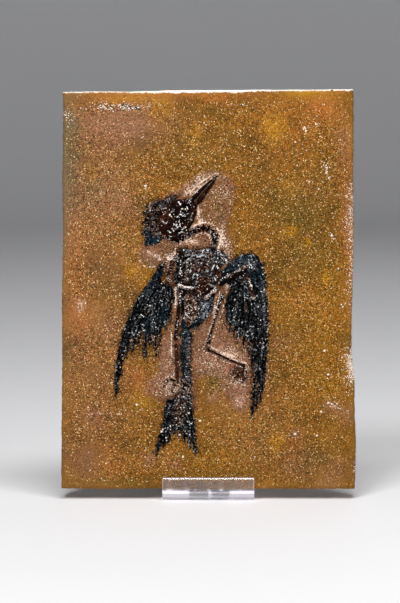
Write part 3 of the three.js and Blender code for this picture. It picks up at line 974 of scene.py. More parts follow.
class Effects:
    """Node groups that several finishes share."""

    def __init__(self) -> None:
        """Builds each group once."""
        self.grain = self._grain()
        self.mottle = self._mottle()
        self.specks = self._specks()

    @staticmethod
    def _start(name: str, outputs: tuple[str, ...], **inputs: float) -> tuple[Tree, Node, Node]:
        """Starts a group with named sockets.

        Args:
            name: the group's name.
            outputs: the names of its outputs.
            inputs: the names of its inputs and their usual values.

        Returns:
            The tree, its input node and its output node.
        """
        tree = bpy.data.node_groups.new(name, "ShaderNodeTree")
        for key, value in inputs.items():
            socket = tree.interface.new_socket(key, in_out="INPUT", socket_type="NodeSocketFloat")
            socket.default_value = value
        for key in outputs:
            tree.interface.new_socket(key, in_out="OUTPUT", socket_type="NodeSocketFloat")
        made = Tree(tree)
        return made, made.add("NodeGroupInput"), made.add("NodeGroupOutput")

    @staticmethod
    def _texture(tree: Tree, kind: str, given: Node) -> Node:
        """Adds a texture at the object's own scale, with the group's size and shift.

        Args:
            tree: the group's tree.
            kind: the texture's node type.
            given: the group's input node.

        Returns:
            The texture node.
        """
        moved = tree.add("ShaderNodeVectorMath", operation="ADD")
        tree.link(tree.add("ShaderNodeTexCoord").outputs["Object"], moved.inputs[0])
        tree.link(given.outputs["Shift"], moved.inputs[1])
        texture = tree.add(kind)
        tree.link(moved.outputs[0], texture.inputs["Vector"])
        scale = tree.maths("DIVIDE", 1 / MM, given.outputs["Size"])
        tree.link(scale, texture.inputs["Scale"])
        return texture

    def _grain(self) -> bpy.types.NodeTree:
        """Packed grains: each has a tone and a hue of its own and a domed top.

        Returns:
            The group's tree.
        """
        outputs = ("Tone", "Hue", "Dome")
        tree, given, result = self._start("packed_grain", outputs, Size=0.5, Shift=0.0)
        cells = self._texture(tree, "ShaderNodeTexVoronoi", given)
        parts = tree.add("ShaderNodeSeparateColor")
        tree.link(cells.outputs["Color"], parts.inputs[0])
        tree.link(parts.outputs[0], result.inputs["Tone"])
        tree.link(parts.outputs[1], result.inputs["Hue"])
        tree.link(tree.maths("SUBTRACT", 1.0, cells.outputs["Distance"]), result.inputs["Dome"])
        return tree.tree

    def _mottle(self) -> bpy.types.NodeTree:
        """Cloudy change over a wider area.

        Returns:
            The group's tree.
        """
        tree, given, result = self._start(
            "mottle", ("Value",), Size=10.0, Detail=4.0, Roughness=0.6, Shift=0.0
        )
        clouds = self._texture(tree, "ShaderNodeTexNoise", given)
        for name in ("Detail", "Roughness"):
            tree.link(given.outputs[name], clouds.inputs[name])
        tree.link(clouds.outputs[0], result.inputs["Value"])
        return tree.tree

    def _specks(self) -> bpy.types.NodeTree:
        """Scattered specks: a share of the grains, each a dot of its own size.

        Returns:
            The group's tree.
        """
        tree, given, result = self._start(
            "scattered_specks", ("Mask",), Size=0.5, Share=0.1, Shift=0.0
        )
        grain = tree.group(self.grain, Size=given.outputs["Size"], Shift=given.outputs["Shift"])
        threshold = tree.maths("SUBTRACT", 1.0, given.outputs["Share"])
        chosen = tree.maths("GREATER_THAN", grain.outputs["Tone"], threshold)
        low = tree.line(grain.outputs["Hue"], 0.3, 0.35)
        dot = tree.between(grain.outputs["Dome"], low, tree.maths("ADD", low, 0.15))
        tree.link(tree.times(chosen, dot), result.inputs["Mask"])
        return tree.tree


def new_material(name: str) -> tuple[Material, Tree, Node]:
    """Starts a material with one Principled shader.

    Args:
        name: the material's name.

    Returns:
        The material, its tree and its shader.
    """
    material = bpy.data.materials.new(name)
    material.use_nodes = True
    tree = Tree(material.node_tree)
    material.node_tree.nodes.clear()
    shader = tree.add("ShaderNodeBsdfPrincipled")
    output = tree.add("ShaderNodeOutputMaterial")
    tree.link(shader.outputs[0], output.inputs["Surface"])
    return material, tree, shader


@dataclass(frozen=True)
class Finish:
    """The gloss and relief that each finish of the slab and the bird has."""

    roughness: float = 0.5
    specular: float = 0.1
    relief: float = 0.5
    relief_depth: float = 0.1

    def gloss(self, tree: Tree, shader: Node, colour: Socket) -> None:
        """Gives a shader its colour and its gloss.

        Args:
            tree: the material's tree.
            shader: the shader.
            colour: the colour.
        """
        tree.link(colour, shader.inputs["Base Color"])
        shader.inputs["Roughness"].default_value = self.roughness
        shader.inputs["Specular IOR Level"].default_value = self.specular

    def raise_grain(self, tree: Tree, shader: Node, height: Socket) -> None:
        """Gives a shader a normal that follows a height, its depth in millimetres.

        Args:
            tree: the material's tree.
            shader: the shader.
            height: the height.
        """
        bump = tree.add("ShaderNodeBump")
        bump.inputs["Strength"].default_value = self.relief
        bump.inputs["Distance"].default_value = self.relief_depth * MM
        tree.link(height, bump.inputs["Height"])
        tree.link(bump.outputs[0], shader.inputs["Normal"])


@dataclass(frozen=True)
class ResinFinish(Finish):
    """Cast amber-brown resin full of fine sparkling grain, calmer in patches."""

    specular: float = 0.08
    tones: Stops = (
        (0.32, (0.12, 0.06, 0.009)),
        (0.46, (0.2, 0.09, 0.012)),
        (0.58, (0.252, 0.112, 0.015)),
        (0.72, (0.3, 0.142, 0.034)),
    )
    stains: tuple[tuple[Stain, Colour], ...] = (
        (Stain.ORANGE, (0.38, 0.135, 0.027)),
        (Stain.PINK, (0.29, 0.14, 0.088)),
        (Stain.OLIVE, (0.135, 0.085, 0.017)),
        (Stain.GREY, (0.15, 0.115, 0.065)),
        (Stain.YELLOW, (0.46, 0.22, 0.012)),
        (Stain.RUST, (0.075, 0.023, 0.011)),
    )
    halo: Colour = (0.165, 0.077, 0.049)
    cream: Colour = (0.9, 0.7, 0.55)
    soot: Colour = (0.008, 0.007, 0.006)
    dark: Colour = (0.065, 0.031, 0.006)
    gold: Colour = (0.9, 0.6, 0.25)
    spark: Colour = (1.0, 0.84, 0.5)
    white: Colour = (1.0, 0.9, 0.78)
    tints: Stops = ((0.2, (1.0, 0.77, 0.75)), (0.8, (0.82, 0.9, 0.72)))

    def build(self, effects: Effects) -> Material:
        """Builds the material.

        Args:
            effects: the shared node groups.

        Returns:
            The material.
        """
        material, tree, shader = new_material("cast_resin")
        coarse = tree.group(effects.grain, Size=0.46).outputs
        fine = tree.group(effects.grain, Size=0.34, Shift=3.7).outputs
        halo = tree.kept("halo")
        lively = self._lively(tree, effects)
        colour = self._ground(tree, effects, halo)
        tone = tree.blend((coarse["Tone"], 0.4), (fine["Tone"], 1.8), start=-0.5)
        colour = tree.mix(1.0, colour, tree.line(tone, lively, 1.15), "MULTIPLY")
        tint = tree.ramp(coarse["Hue"], self.tints)
        colour = tree.mix(lively, colour, tree.mix(1.0, colour, tint, "MULTIPLY"))
        share = tree.line(lively, 0.3, 0.02)
        colour = tree.specked(effects.specks, colour, self.dark, share, 0.36, 9.1)
        share = tree.times(tree.times(lively, 0.095), tree.line(halo, -0.8, 1.0))
        colour = tree.specked(effects.specks, colour, self.gold, share, 0.36, 12.3)
        wander = tree.blend((fine["Tone"], 0.5), (coarse["Hue"], 0.4), start=-0.5)
        # The painted rim highlights are mixed in as cream, together with the real pale patches.
        rim = tree.between(tree.maths("ADD", tree.kept("rim"), wander), 0.45, 0.7)
        soft = tree.line(halo, 0.12, tree.line(fine["Hue"], 0.9, tree.kept("pale")))
        pale = tree.maths("MAXIMUM", rim, tree.between(soft, 0.85, 1.25))
        colour = tree.mix(pale, colour, self.cream)
        sooty = tree.line(fine["Hue"], 0.8, tree.kept("soot"))
        colour = tree.mix(tree.between(sooty, 0.75, 0.95), colour, self.soot)
        share = tree.times(tree.maths("POWER", lively, 3.0), 0.02)
        colour = tree.specked(effects.specks, colour, self.spark, share, 0.38, 15.1)
        colour = tree.specked(effects.specks, colour, self.white, tree.kept("chip"), 0.41, 5.3)
        # Painted highlight: white along the slab's top front edge, where light from above would catch
        # it.
        lit = tree.between(tree.line(wander, 0.7, tree.kept("lit")), 0.5, 0.8)
        self.gloss(tree, shader, tree.mix(lit, colour, self.white))
        tree.link(tree.line(fine["Tone"], -0.2, self.roughness), shader.inputs["Roughness"])
        self.raise_grain(tree, shader, tree.maths("ADD", coarse["Dome"], fine["Dome"]))
        return material

    def _lively(self, tree: Tree, effects: Effects) -> Socket:
        """How lively the grain is: less in calm patches and near the slab's edges.

        Args:
            tree: the material's tree.
            effects: the shared node groups.

        Returns:
            A value up to 1.
        """
        patches = tree.group(effects.mottle, Size=12.0, Detail=4.0, Roughness=0.6, Shift=2.0)
        still = tree.between(patches.outputs[0], 0.5, 0.66)
        return tree.line(tree.line(still, 0.45, tree.kept("calm"), clamp=True), -0.75, 1.0)

    def _ground(self, tree: Tree, effects: Effects, halo: Socket) -> Socket:
        """The resin's colour under its grain: clouds, the pale halo and the stains.

        Args:
            tree: the material's tree.
            effects: the shared node groups.
            halo: the raised ground's value.

        Returns:
            The colour.
        """
        clouds = tree.group(effects.mottle, Size=14.0, Detail=5.0, Roughness=0.62)
        colour = tree.ramp(clouds.outputs[0], self.tones)
        colour = tree.mix(tree.times(halo, 0.75), colour, self.halo)
        for stain, over in self.stains:
            colour = tree.mix(tree.times(tree.kept(stain.value), 0.8), colour, over)
        return colour


@dataclass(frozen=True)
class FilmFinish(Finish):
    """Blue-black carbon film of feathers, streaked along them, with white glint specks and a painted
    silver sheen in places.
    """

    roughness: float = 0.4
    specular: float = 0.01
    relief: float = 0.7
    relief_depth: float = 0.12
    tones: Stops = (
        (0.35, (0.0002, 0.0002, 0.0002)),
        (0.52, (0.0014, 0.0015, 0.0017)),
        (0.66, (0.013, 0.0145, 0.016)),
        (0.84, (0.085, 0.09, 0.095)),
        (1.0, (0.7, 0.72, 0.72)),
    )
    earth: Stops = (
        (0.2, (0.003, 0.002, 0.0015)),
        (0.45, (0.05, 0.022, 0.011)),
        (0.75, (0.17, 0.08, 0.04)),
        (1.0, (0.55, 0.36, 0.25)),
    )
    silver: Colour = (0.33, 0.335, 0.35)
    red: Colour = (0.08, 0.019, 0.009)
    teal: Colour = (0.007, 0.027, 0.04)
    white: Colour = (0.97, 0.97, 0.94)

    def build(self, effects: Effects) -> Material:
        """Builds the material.

        Args:
            effects: the shared node groups.

        Returns:
            The material.
        """
        material, tree, shader = new_material("feather_carbon")
        grain = tree.group(effects.grain, Size=0.5, Shift=1.9).outputs
        fine = tree.group(effects.grain, Size=0.36, Shift=6.1).outputs
        clouds = tree.group(effects.mottle, Size=4.0, Detail=5.0, Roughness=0.65).outputs[0]
        streak = tree.kept("streak")
        tone = tree.blend(
            (grain["Tone"], 0.4), (fine["Tone"], 0.45), (clouds, 0.45), (streak, 0.4),
        )
        colour = tree.ramp(tone, self.tones)
        teal = tree.times(tree.kept("teal"), tree.between(tone, 0.25, 0.6))
        colour = tree.mix(tree.times(teal, 0.8), colour, self.teal)
        # Painted sheen: a silver colour where the sheen value is high, standing in for light off the
        # film.
        sheen = tree.times(tree.kept("sheen"), tree.between(tone, 0.42, 0.7))
        colour = tree.mix(sheen, colour, self.silver)
        red = tree.times(tree.kept("red"), tree.between(fine["Hue"], 0.2, 0.9))
        colour = tree.mix(red, colour, self.red)
        worn = tree.between(tree.line(fine["Hue"], 0.9, tree.kept("worn")), 0.95, 1.15)
        colour = tree.mix(worn, colour, tree.ramp(grain["Tone"], self.earth))
        # White glint specks: pale grains showing through the film, painted bright as glints of light.
        share = tree.line(tree.kept("glint"), 0.36, 0.045)
        share = tree.times(share, tree.between(clouds, 0.42, 0.62))
        colour = tree.specked(effects.specks, colour, self.white, share, 0.46, 2.3)
        # Painted highlights: the gleam strokes in white.
        colour = tree.mix(tree.broken("gleam", fine["Hue"]), colour, self.white)
        self.gloss(tree, shader, colour)
        self.raise_grain(tree, shader, tree.line(streak, 1.4, grain["Dome"]))
        return material


@dataclass(frozen=True)
class BoneFinish(Finish):
    """Glossy dark red-brown bone, broken by pale glints."""

    roughness: float = 0.35
    specular: float = 0.02
    relief: float = 0.8
    relief_depth: float = 0.16
    tones: Stops = (
        (0.45, (0.0003, 0.0002, 0.0002)),
        (0.66, (0.002, 0.001, 0.001)),
        (0.8, (0.018, 0.006, 0.004)),
        (0.9, (0.14, 0.07, 0.05)),
        (1.0, (0.75, 0.65, 0.56)),
    )
    red: Colour = (0.085, 0.021, 0.008)
    tan: Colour = (0.5, 0.3, 0.2)
    white: Colour = (1.0, 0.97, 0.93)

    def build(self, effects: Effects) -> Material:
        """Builds the material.

        Args:
            effects: the shared node groups.

        Returns:
            The material.
        """
        material, tree, shader = new_material("fossil_bone")
        grain = tree.group(effects.grain, Size=0.5, Shift=4.4).outputs
        fine = tree.group(effects.grain, Size=0.36, Shift=7.7).outputs
        clouds = tree.group(effects.mottle, Size=3.0, Detail=4.0, Roughness=0.6).outputs[0]
        tone = tree.blend((grain["Tone"], 0.45), (fine["Tone"], 0.35), (clouds, 0.6))
        ruddy = tree.times(tree.kept("red"), tree.between(fine["Hue"], 0.25, 0.95))
        colour = tree.mix(ruddy, tree.ramp(tone, self.tones), self.red)
        pale = tree.line(fine["Tone"], 0.9, tree.kept("pale"))
        colour = tree.mix(tree.between(pale, 0.95, 1.3), colour, self.tan)
        # Painted highlights: white glint specks and gleam strokes stand in for light caught by the
        # glossy bone.
        glint = tree.kept("glint")
        cluster = tree.between(tree.line(glint, 0.3, clouds), 0.5, 0.7)
        share = tree.times(tree.line(glint, 0.6, 0.01), cluster)
        colour = tree.specked(effects.specks, colour, self.white, share, 0.42, 8.2)
        colour = tree.mix(tree.broken("gleam", fine["Hue"]), colour, self.white)
        self.gloss(tree, shader, colour)
        self.raise_grain(tree, shader, tree.maths("ADD", grain["Dome"], clouds))
        return material


@dataclass(frozen=True)
class CrystalFinish(Finish):
    """Loose pale grains that catch the light."""

    roughness: float = 0.35
    specular: float = 0.2
    colour: Colour = (1.0, 0.93, 0.82)
    shade: Colour = (0.85, 0.66, 0.46)

    def build(self, effects: Effects) -> Material:
        """Builds the material.

        Args:
            effects: the shared node groups.

        Returns:
            The material.
        """
        material, tree, shader = new_material("pale_crystal")
        clouds = tree.group(effects.mottle, Size=0.8, Detail=3.0, Roughness=0.5).outputs[0]
        bright = tree.between(clouds, 0.4, 0.6)
        self.gloss(tree, shader, tree.mix(bright, self.shade, self.colour))
        return material


@dataclass(frozen=True)
class AcrylicFinish:
    """Clear polished acrylic sheet, with painted light: an emission glow in the lip where the pale
    table's light would gather.
    """

    tint: Colour = (0.97, 0.97, 0.99)
    clearness: float = 0.97
    roughness: float = 0.02
    ior: float = 1.49
    black: Colour = (0.0, 0.0, 0.0)
    painted_glow_colour: Colour = (0.36, 0.32, 0.37)

    def build(self, effects: Effects) -> Material:
        """Builds the material.

        Args:
            effects: the shared node groups.

        Returns:
            The material.
        """
        material, tree, shader = new_material("clear_sheet")
        clouds = tree.group(effects.mottle, Size=6.0, Detail=3.0, Roughness=0.5).outputs[0]
        scuffs = tree.times(tree.between(clouds, 0.45, 0.75), 0.04)
        tree.link(tree.maths("ADD", self.roughness, scuffs), shader.inputs["Roughness"])
        # Painted light: the glow value feeds the sheet's emission, so the lip glows though it is no
        # lamp.
        light = tree.mix(tree.kept("glow"), self.black, self.painted_glow_colour)
        tree.link(light, shader.inputs["Emission Color"])
        shader.inputs["Emission Strength"].default_value = 1.0
        shader.inputs["Base Color"].default_value = opaque(self.tint)
        shader.inputs["Transmission Weight"].default_value = self.clearness
        shader.inputs["IOR"].default_value = self.ior
        return material


# What is drawn on the face


@dataclass(frozen=True)
class Feather:
    """One feather: a lens in plan along a curve from its root to its tip."""

    root: Point
    control: Point
    tip: Point
    half_width: float

    def line(self, steps: int = 14) -> Array:
        """Its shaft."""
        return curve_through(self.root, self.control, self.tip, steps)


def feathers(*rows: tuple[float, ...]) -> tuple[Feather, ...]:
    """Feathers, each from a row of u and v of its three points, and half its width."""
    return tuple(Feather(row[0:2], row[2:4], row[4:6], row[6]) for row in rows)


def lens(share: Array) -> Array:
    """How wide a feather is at a share of its length, against its greatest width."""
    return np.sin(np.pi * unit_clip(share) ** 0.8).clip(0.0) ** 0.6


@dataclass(frozen=True)
class FeatherFilm:
    """A thin carbon film: its outline, the feathers in it, and how its colour changes."""

    name: str
    outline: Outline
    feathers: tuple[Feather, ...]
    seed: int
    marks: dict[str, tuple[Spot, ...]]
    base_streak: float = 0.0
    cell: float = 0.22
    margin: float = 1.6
    torn_edge: float = -0.55
    most_worn: float = 0.72

    def depth(self, u: Array, v: Array, steps: int) -> Array:
        """How deep each place lies inside the film.

        Args:
            u: places across.
            v: places up.
            steps: how many parts each feather's shaft is drawn in.

        Returns:
            The depth, less than 0 outside the film.
        """
        depth = self.outline.depth(u, v)
        for feather in self.feathers:
            line = feather.line(steps)
            near = nearest_on_line(u, v, line)
            width = feather.half_width * lens(near.along / length_of(line))
            depth = np.maximum(depth, width - near.distance)
        return depth

    def build(self, finish: Material) -> None:
        """Draws the film as a ragged relief and dresses it.

        Args:
            finish: its material.
        """
        lines = [self.outline.line(), *(feather.line() for feather in self.feathers)]
        grid = ReliefGrid.over(np.vstack(lines), self.margin, self.cell)
        u, v = grid.places()
        depth, ridge, streak = self._plumage(u, v)
        depth = depth + 0.28 * noise(u, v, 1.1, self.seed + 60, 3)
        grain = 0.05 * noise(u, v, 0.55, self.seed + 80, 2)
        thickness = FILM_LEVEL - FILM_FLOOR
        height = FILM_FLOOR + thickness * smooth_step(self.torn_edge, 0.2, depth)
        height += (ridge + grain + 0.05 * streak) * smooth_step(-0.1, 0.3, depth)
        height = np.where(depth < self.torn_edge, FILM_FLOOR - 1.0, height)
        draft = grid.patch(height, FILM_FLOOR, self._values(u, v, depth, streak))
        publish(f"{self.name}_film", draft, finish, (self.name,))

    def _plumage(self, u: Array, v: Array) -> tuple[Array, Array, Array]:
        """Draws the feathers' shafts, vanes and barbs.

        Args:
            u: places across.
            v: places up.

        Returns:
            How deep each place lies in the film, how far it stands out, and its streak.
        """
        depth = self.outline.depth(u, v)
        ridge = np.zeros(u.shape)
        streak = 0.5 * noise(u / 0.4, v / 2.4, 1.0, self.seed + 5, 2) * self.base_streak
        nearest = np.full(u.shape, np.inf)
        for order, feather in enumerate(self.feathers):
            line = feather.line()
            near = nearest_on_line(u, v, line)
            across = near.side * near.distance
            share = near.along / length_of(line)
            ragged = noise(near.along, across, 0.5, self.seed + order, 2)
            inside = feather.half_width * lens(share) - near.distance
            inside = inside + 0.3 * ragged * smooth_step(0.2, 1.0, share)
            depth = np.maximum(depth, inside)
            vane = 0.06 * (order % 3) + 0.16 * bell(near.distance, 0.24)
            vane = (vane + 0.08 * unit_clip(inside)) * smooth_step(-0.1, 0.25, inside)
            ridge = np.maximum(ridge, vane)
            lengthwise = near.along * 0.2 - near.distance * 0.5
            barbs = noise(lengthwise, across * 2.4, 0.8, self.seed + 40 + order, 2)
            closer = near.distance < nearest
            nearest = np.where(closer, near.distance, nearest)
            streak = np.where(closer, barbs, streak)
        return depth, ridge, streak

    def _values(self, u: Array, v: Array, depth: Array, streak: Array) -> Values:
        """Values that steer the film's colour.

        Args:
            u: places across.
            v: places up.
            depth: how deep each place lies in the film.
            streak: the barbs' pattern, about -1 to 1.

        Returns:
            The values, by name.
        """
        values = {name: sum_of_spots(patches, u, v) for name, patches in self.marks.items()}
        values["streak"] = unit_clip(0.5 + 0.5 * streak)
        values["gleam"] = on_strokes(GLEAMS, u, v)
        edge_wear = 0.75 * smooth_step(0.5, -0.3, depth)
        values["worn"] = np.minimum(np.clip(values["worn"], 0.0, self.most_worn) + edge_wear, 1.0)
        return values


# Outlines
CREST = Outline((
    (-11.6, 110.2), (-14.2, 110), (-17.4, 108.8), (-20.2, 107.2), (-22.6, 105.2), (-23.6, 102.8),
    (-23.7, 100.2), (-23.9, 97.4), (-23.9, 94.8), (-22.6, 92.4), (-20.2, 91.9), (-17.6, 93.6),
    (-17.6, 96), (-18.2, 99), (-18, 102.6), (-16.4, 106), (-13.8, 108.4),
))
BODY = Outline((
    (-12.4, 88.6), (-10.6, 90.5), (-7, 90.5), (-3, 90.1), (1, 90.8), (4, 90), (6.4, 88.6), (8.2, 86.6),
    (6.4, 84.8), (4.4, 82.4), (3.7, 79.5), (2.8, 76.4), (2.6, 73.2), (1.9, 69.8), (1, 66.8),
    (-0.4, 64.4), (-2.2, 62.4), (-4, 60.9), (-6, 60.2), (-9.8, 60.4), (-10.2, 64), (-10.4, 70),
    (-11.6, 74.5), (-12.6, 78), (-12.2, 83.5),
))
LEFT_WING = Outline((
    (-16.5, 85.3), (-19, 83.2), (-20.8, 80), (-23, 76.6), (-26, 72.2), (-28.6, 68), (-30.4, 63.5),
    (-31.4, 59), (-30.4, 55.6), (-26, 58.5), (-22, 58.2), (-18.5, 59.6), (-15.6, 63), (-13.8, 67),
    (-13, 71.5), (-13.4, 76.2), (-15.4, 76.7), (-17.3, 78.2), (-17.2, 81.8),
))
RIGHT_WING = Outline((
    (5, 81.4), (7.4, 84.2), (10, 86.7), (12.5, 88.2), (15.4, 88.8), (18.2, 88.1), (19.8, 86),
    (21, 83.2), (21.5, 79), (21.8, 73), (21.6, 66), (21.2, 60), (20.8, 54), (19.4, 50), (17, 51.5),
    (14, 56.5), (11, 59.4), (8.6, 62), (7.2, 65), (6.3, 68.2), (7, 71.6), (8.6, 74.8), (7.4, 77),
    (5.2, 78.8),
))
TAIL = Outline((
    (-10.1, 59.5), (-10.1, 53), (-10.2, 47), (-9.9, 42), (-9.8, 38), (-11.4, 35.3), (-13.4, 33.9),
    (-15.2, 33.4), (-16.2, 30.6), (-16.6, 26.6), (-15.6, 23.4), (-12.7, 22.4), (-9, 21.6), (-6.2, 22.6),
    (-5.7, 26), (-5.9, 30), (-6.3, 34.5), (-6.2, 39), (-6.5, 44), (-6.6, 49), (-6.8, 54), (-6.2, 59.2),
))
HALO = Outline((
    (5.2, 119.7), (8.9, 117.4), (10, 113.4), (9.3, 108.4), (8.5, 104), (7.3, 99.8), (7.5, 95.5),
    (8.6, 91), (11, 86), (15.5, 76), (17, 60), (16.6, 50), (16.4, 44), (15.9, 38), (16.1, 33.4),
    (14.3, 30.2), (10, 29.8), (8.2, 33), (6.3, 37), (3.6, 41.4), (-1, 43.4), (-4.4, 41), (-4.6, 35),
    (-4.8, 30.5), (-8, 31), (-14, 32), (-18, 34.4), (-22, 36), (-23.2, 38.6), (-21.4, 41),
    (-18.8, 42.8), (-19.2, 47), (-18.6, 53), (-16, 60), (-14, 68), (-14.2, 77), (-16.4, 81),
    (-18.4, 84.2), (-21.4, 84.2), (-24.4, 85.8), (-25.8, 88.6), (-25, 91.6), (-22, 94), (-21.2, 99),
    (-21, 103), (-19, 107), (-15.4, 110.8), (-11.4, 113), (-7.4, 116), (-3.2, 118.5), (1, 119.9),
), rounded=False)

# Feathers
CREST_PLUMES = feathers(
    (-16.8, 108.4, -20, 108, -23.4, 106, 0.7), (-20.4, 105.4, -22.6, 105.2, -24.6, 103.4, 0.7),
    (-21, 101.6, -23.4, 101.4, -25, 100, 0.8), (-21.2, 98.2, -23.4, 97.6, -25.2, 96, 0.8),
    (-20.8, 95.6, -22.4, 93.8, -23.6, 91.4, 0.9),
)
BODY_PLUMES = feathers(
    (2.2, 72.6, 0.6, 67.6, -4.4, 61.6, 0.8), (1, 72, -0.8, 67.6, -5.6, 61.6, 0.8),
    (0, 71, -2, 67, -7, 61.4, 0.8),
)
LEFT_WING_FEATHERS = feathers(
    (-19.8, 80.2, -33.8, 61.5, -34.8, 34.6, 1.4), (-19.4, 79.2, -32.4, 61, -33.4, 42.4, 1.2),
    (-19, 78.2, -30.4, 60.5, -30.8, 49.2, 1.3), (-18.6, 77.4, -28.4, 60.5, -28.6, 51, 1.2),
    (-18.2, 76.8, -26.2, 62, -26.3, 54, 1.1), (-17.8, 76.4, -24.4, 62, -24, 50, 1.1),
    (-17.2, 76, -22.6, 62, -22, 53.8, 1.1), (-16.6, 75.8, -20.8, 62, -19.6, 50.4, 1.1),
    (-16, 75.6, -19, 64, -18, 54.4, 1), (-15.4, 75.4, -17.2, 66, -16.2, 59, 0.9),
    (-14.6, 75.2, -15.6, 68, -14.3, 62.5, 0.8),
)
RIGHT_WING_FEATHERS = feathers(
    (18.2, 85, 23.6, 70, 20.4, 41.6, 1.1), (17.8, 82, 22.6, 66, 20.2, 36.4, 1.1),
    (17.4, 79, 21.8, 62, 19.4, 32.6, 1.1), (16.9, 76, 20.4, 58, 18.1, 29.4, 1),
    (16.5, 73, 18.8, 54, 16.5, 26.4, 1), (15.6, 74, 17.2, 60, 16.4, 45, 0.9),
    (14.6, 75.4, 16.2, 62, 15.1, 49.8, 1.1), (13.4, 75.8, 14.6, 64, 13.1, 53, 1.1),
    (12, 75.8, 12.8, 66, 11.2, 55.4, 1.1), (10.8, 75.6, 11, 67, 9.5, 56.9, 1),
    (9.7, 75, 9.4, 68, 8.1, 59.2, 1), (8.7, 74, 8, 69.5, 6.9, 62.4, 0.9),
)
TAIL_FEATHERS = feathers(
    (-11.2, 34, -16.6, 24.6, -19.7, 12.2, 1.2), (-10.8, 34, -15.2, 24.6, -17.3, 15.2, 1.2),
    (-10.4, 34, -13.8, 25.4, -15.4, 17.3, 1.1), (-10, 34, -12.4, 26.4, -13.4, 19.6, 1),
    (-9.2, 34, -10, 26.4, -11.1, 19.4, 1), (-8.8, 34, -8.6, 25, -9.1, 17.6, 1.1),
    (-8.2, 34, -7.4, 24, -7.1, 15.4, 1.1), (-7.6, 34, -6.1, 23, -4.8, 13.3, 1.1),
)

# Short bright strokes on the bones and the films, painted as gleams of light
GLEAMS = strokes(
    (0.24, -6.2, 87.7, -4.9, 88.2, -3.6, 87.4, -2.2, 88.4), (0.19, -2.2, 89.4, -1.45, 90.3, -0.1, 89.9),
    (0.19, 3.6, 89.9, 4.4, 89.8, 4.7, 88.5, 5.6, 88), (0.24, 6.4, 87, 7, 85.8),
    (0.32, -0.6, 82.4, -0.2, 81.8), (0.22, 2.5, 84.6, 1.9, 83.8, 1.3, 82.6),
    (0.17, 3, 83.9, 4, 82.8, 4.7, 81.4), (0.17, -5.8, 79.6, -5.2, 81, -4, 80.4, -4.2, 79),
    (0.24, -11.4, 76.5, -10.1, 76.8, -8.7, 76, -7, 75.9, -5.7, 75.8), (0.19, -0.3, 77.1, 1.4, 76.6),
    (0.19, 1.1, 74.5, 2.6, 75.8, 4.2, 77.8), (0.14, -10.5, 83.4, -10.5, 81.9),
    (0.17, -8, 86.4, -7.2, 87), (0.17, -3, 84.6, -2, 85.6), (0.17, 2.2, 80, 2.9, 78.4),
    (0.28, -11.2, 108, -10.4, 107.2), (0.15, -11.8, 102.3, -10.5, 103.5, -9.8, 102.7, -8.8, 103.4),
    (0.22, -12.1, 99.5, -11.6, 98.3), (0.24, -10.9, 100.6, -10.5, 98.9), (0.24, -9.8, 97.6, -8.6, 98.6),
    (0.24, -15, 97.2, -14.3, 96.5), (0.19, -17.3, 100.8, -16.7, 100.4),
    (0.19, -16.2, 99.9, -15.3, 100.6), (0.19, -13.6, 98.1, -13, 97.2), (0.24, -10.9, 96.4, -9.8, 97),
    (0.17, -13.4, 105, -13.9, 104.2), (0.17, -8.1, 106.4, -7.8, 105.6, -8, 104.8),
    (0.24, -9.9, 105.4, -9.5, 105.6), (0.17, -7.2, 108.6, -6.4, 109.6), (0.17, -6.6, 102.6, -6, 103.8),
    (0.19, 15.4, 85.2, 16.4, 84),
)

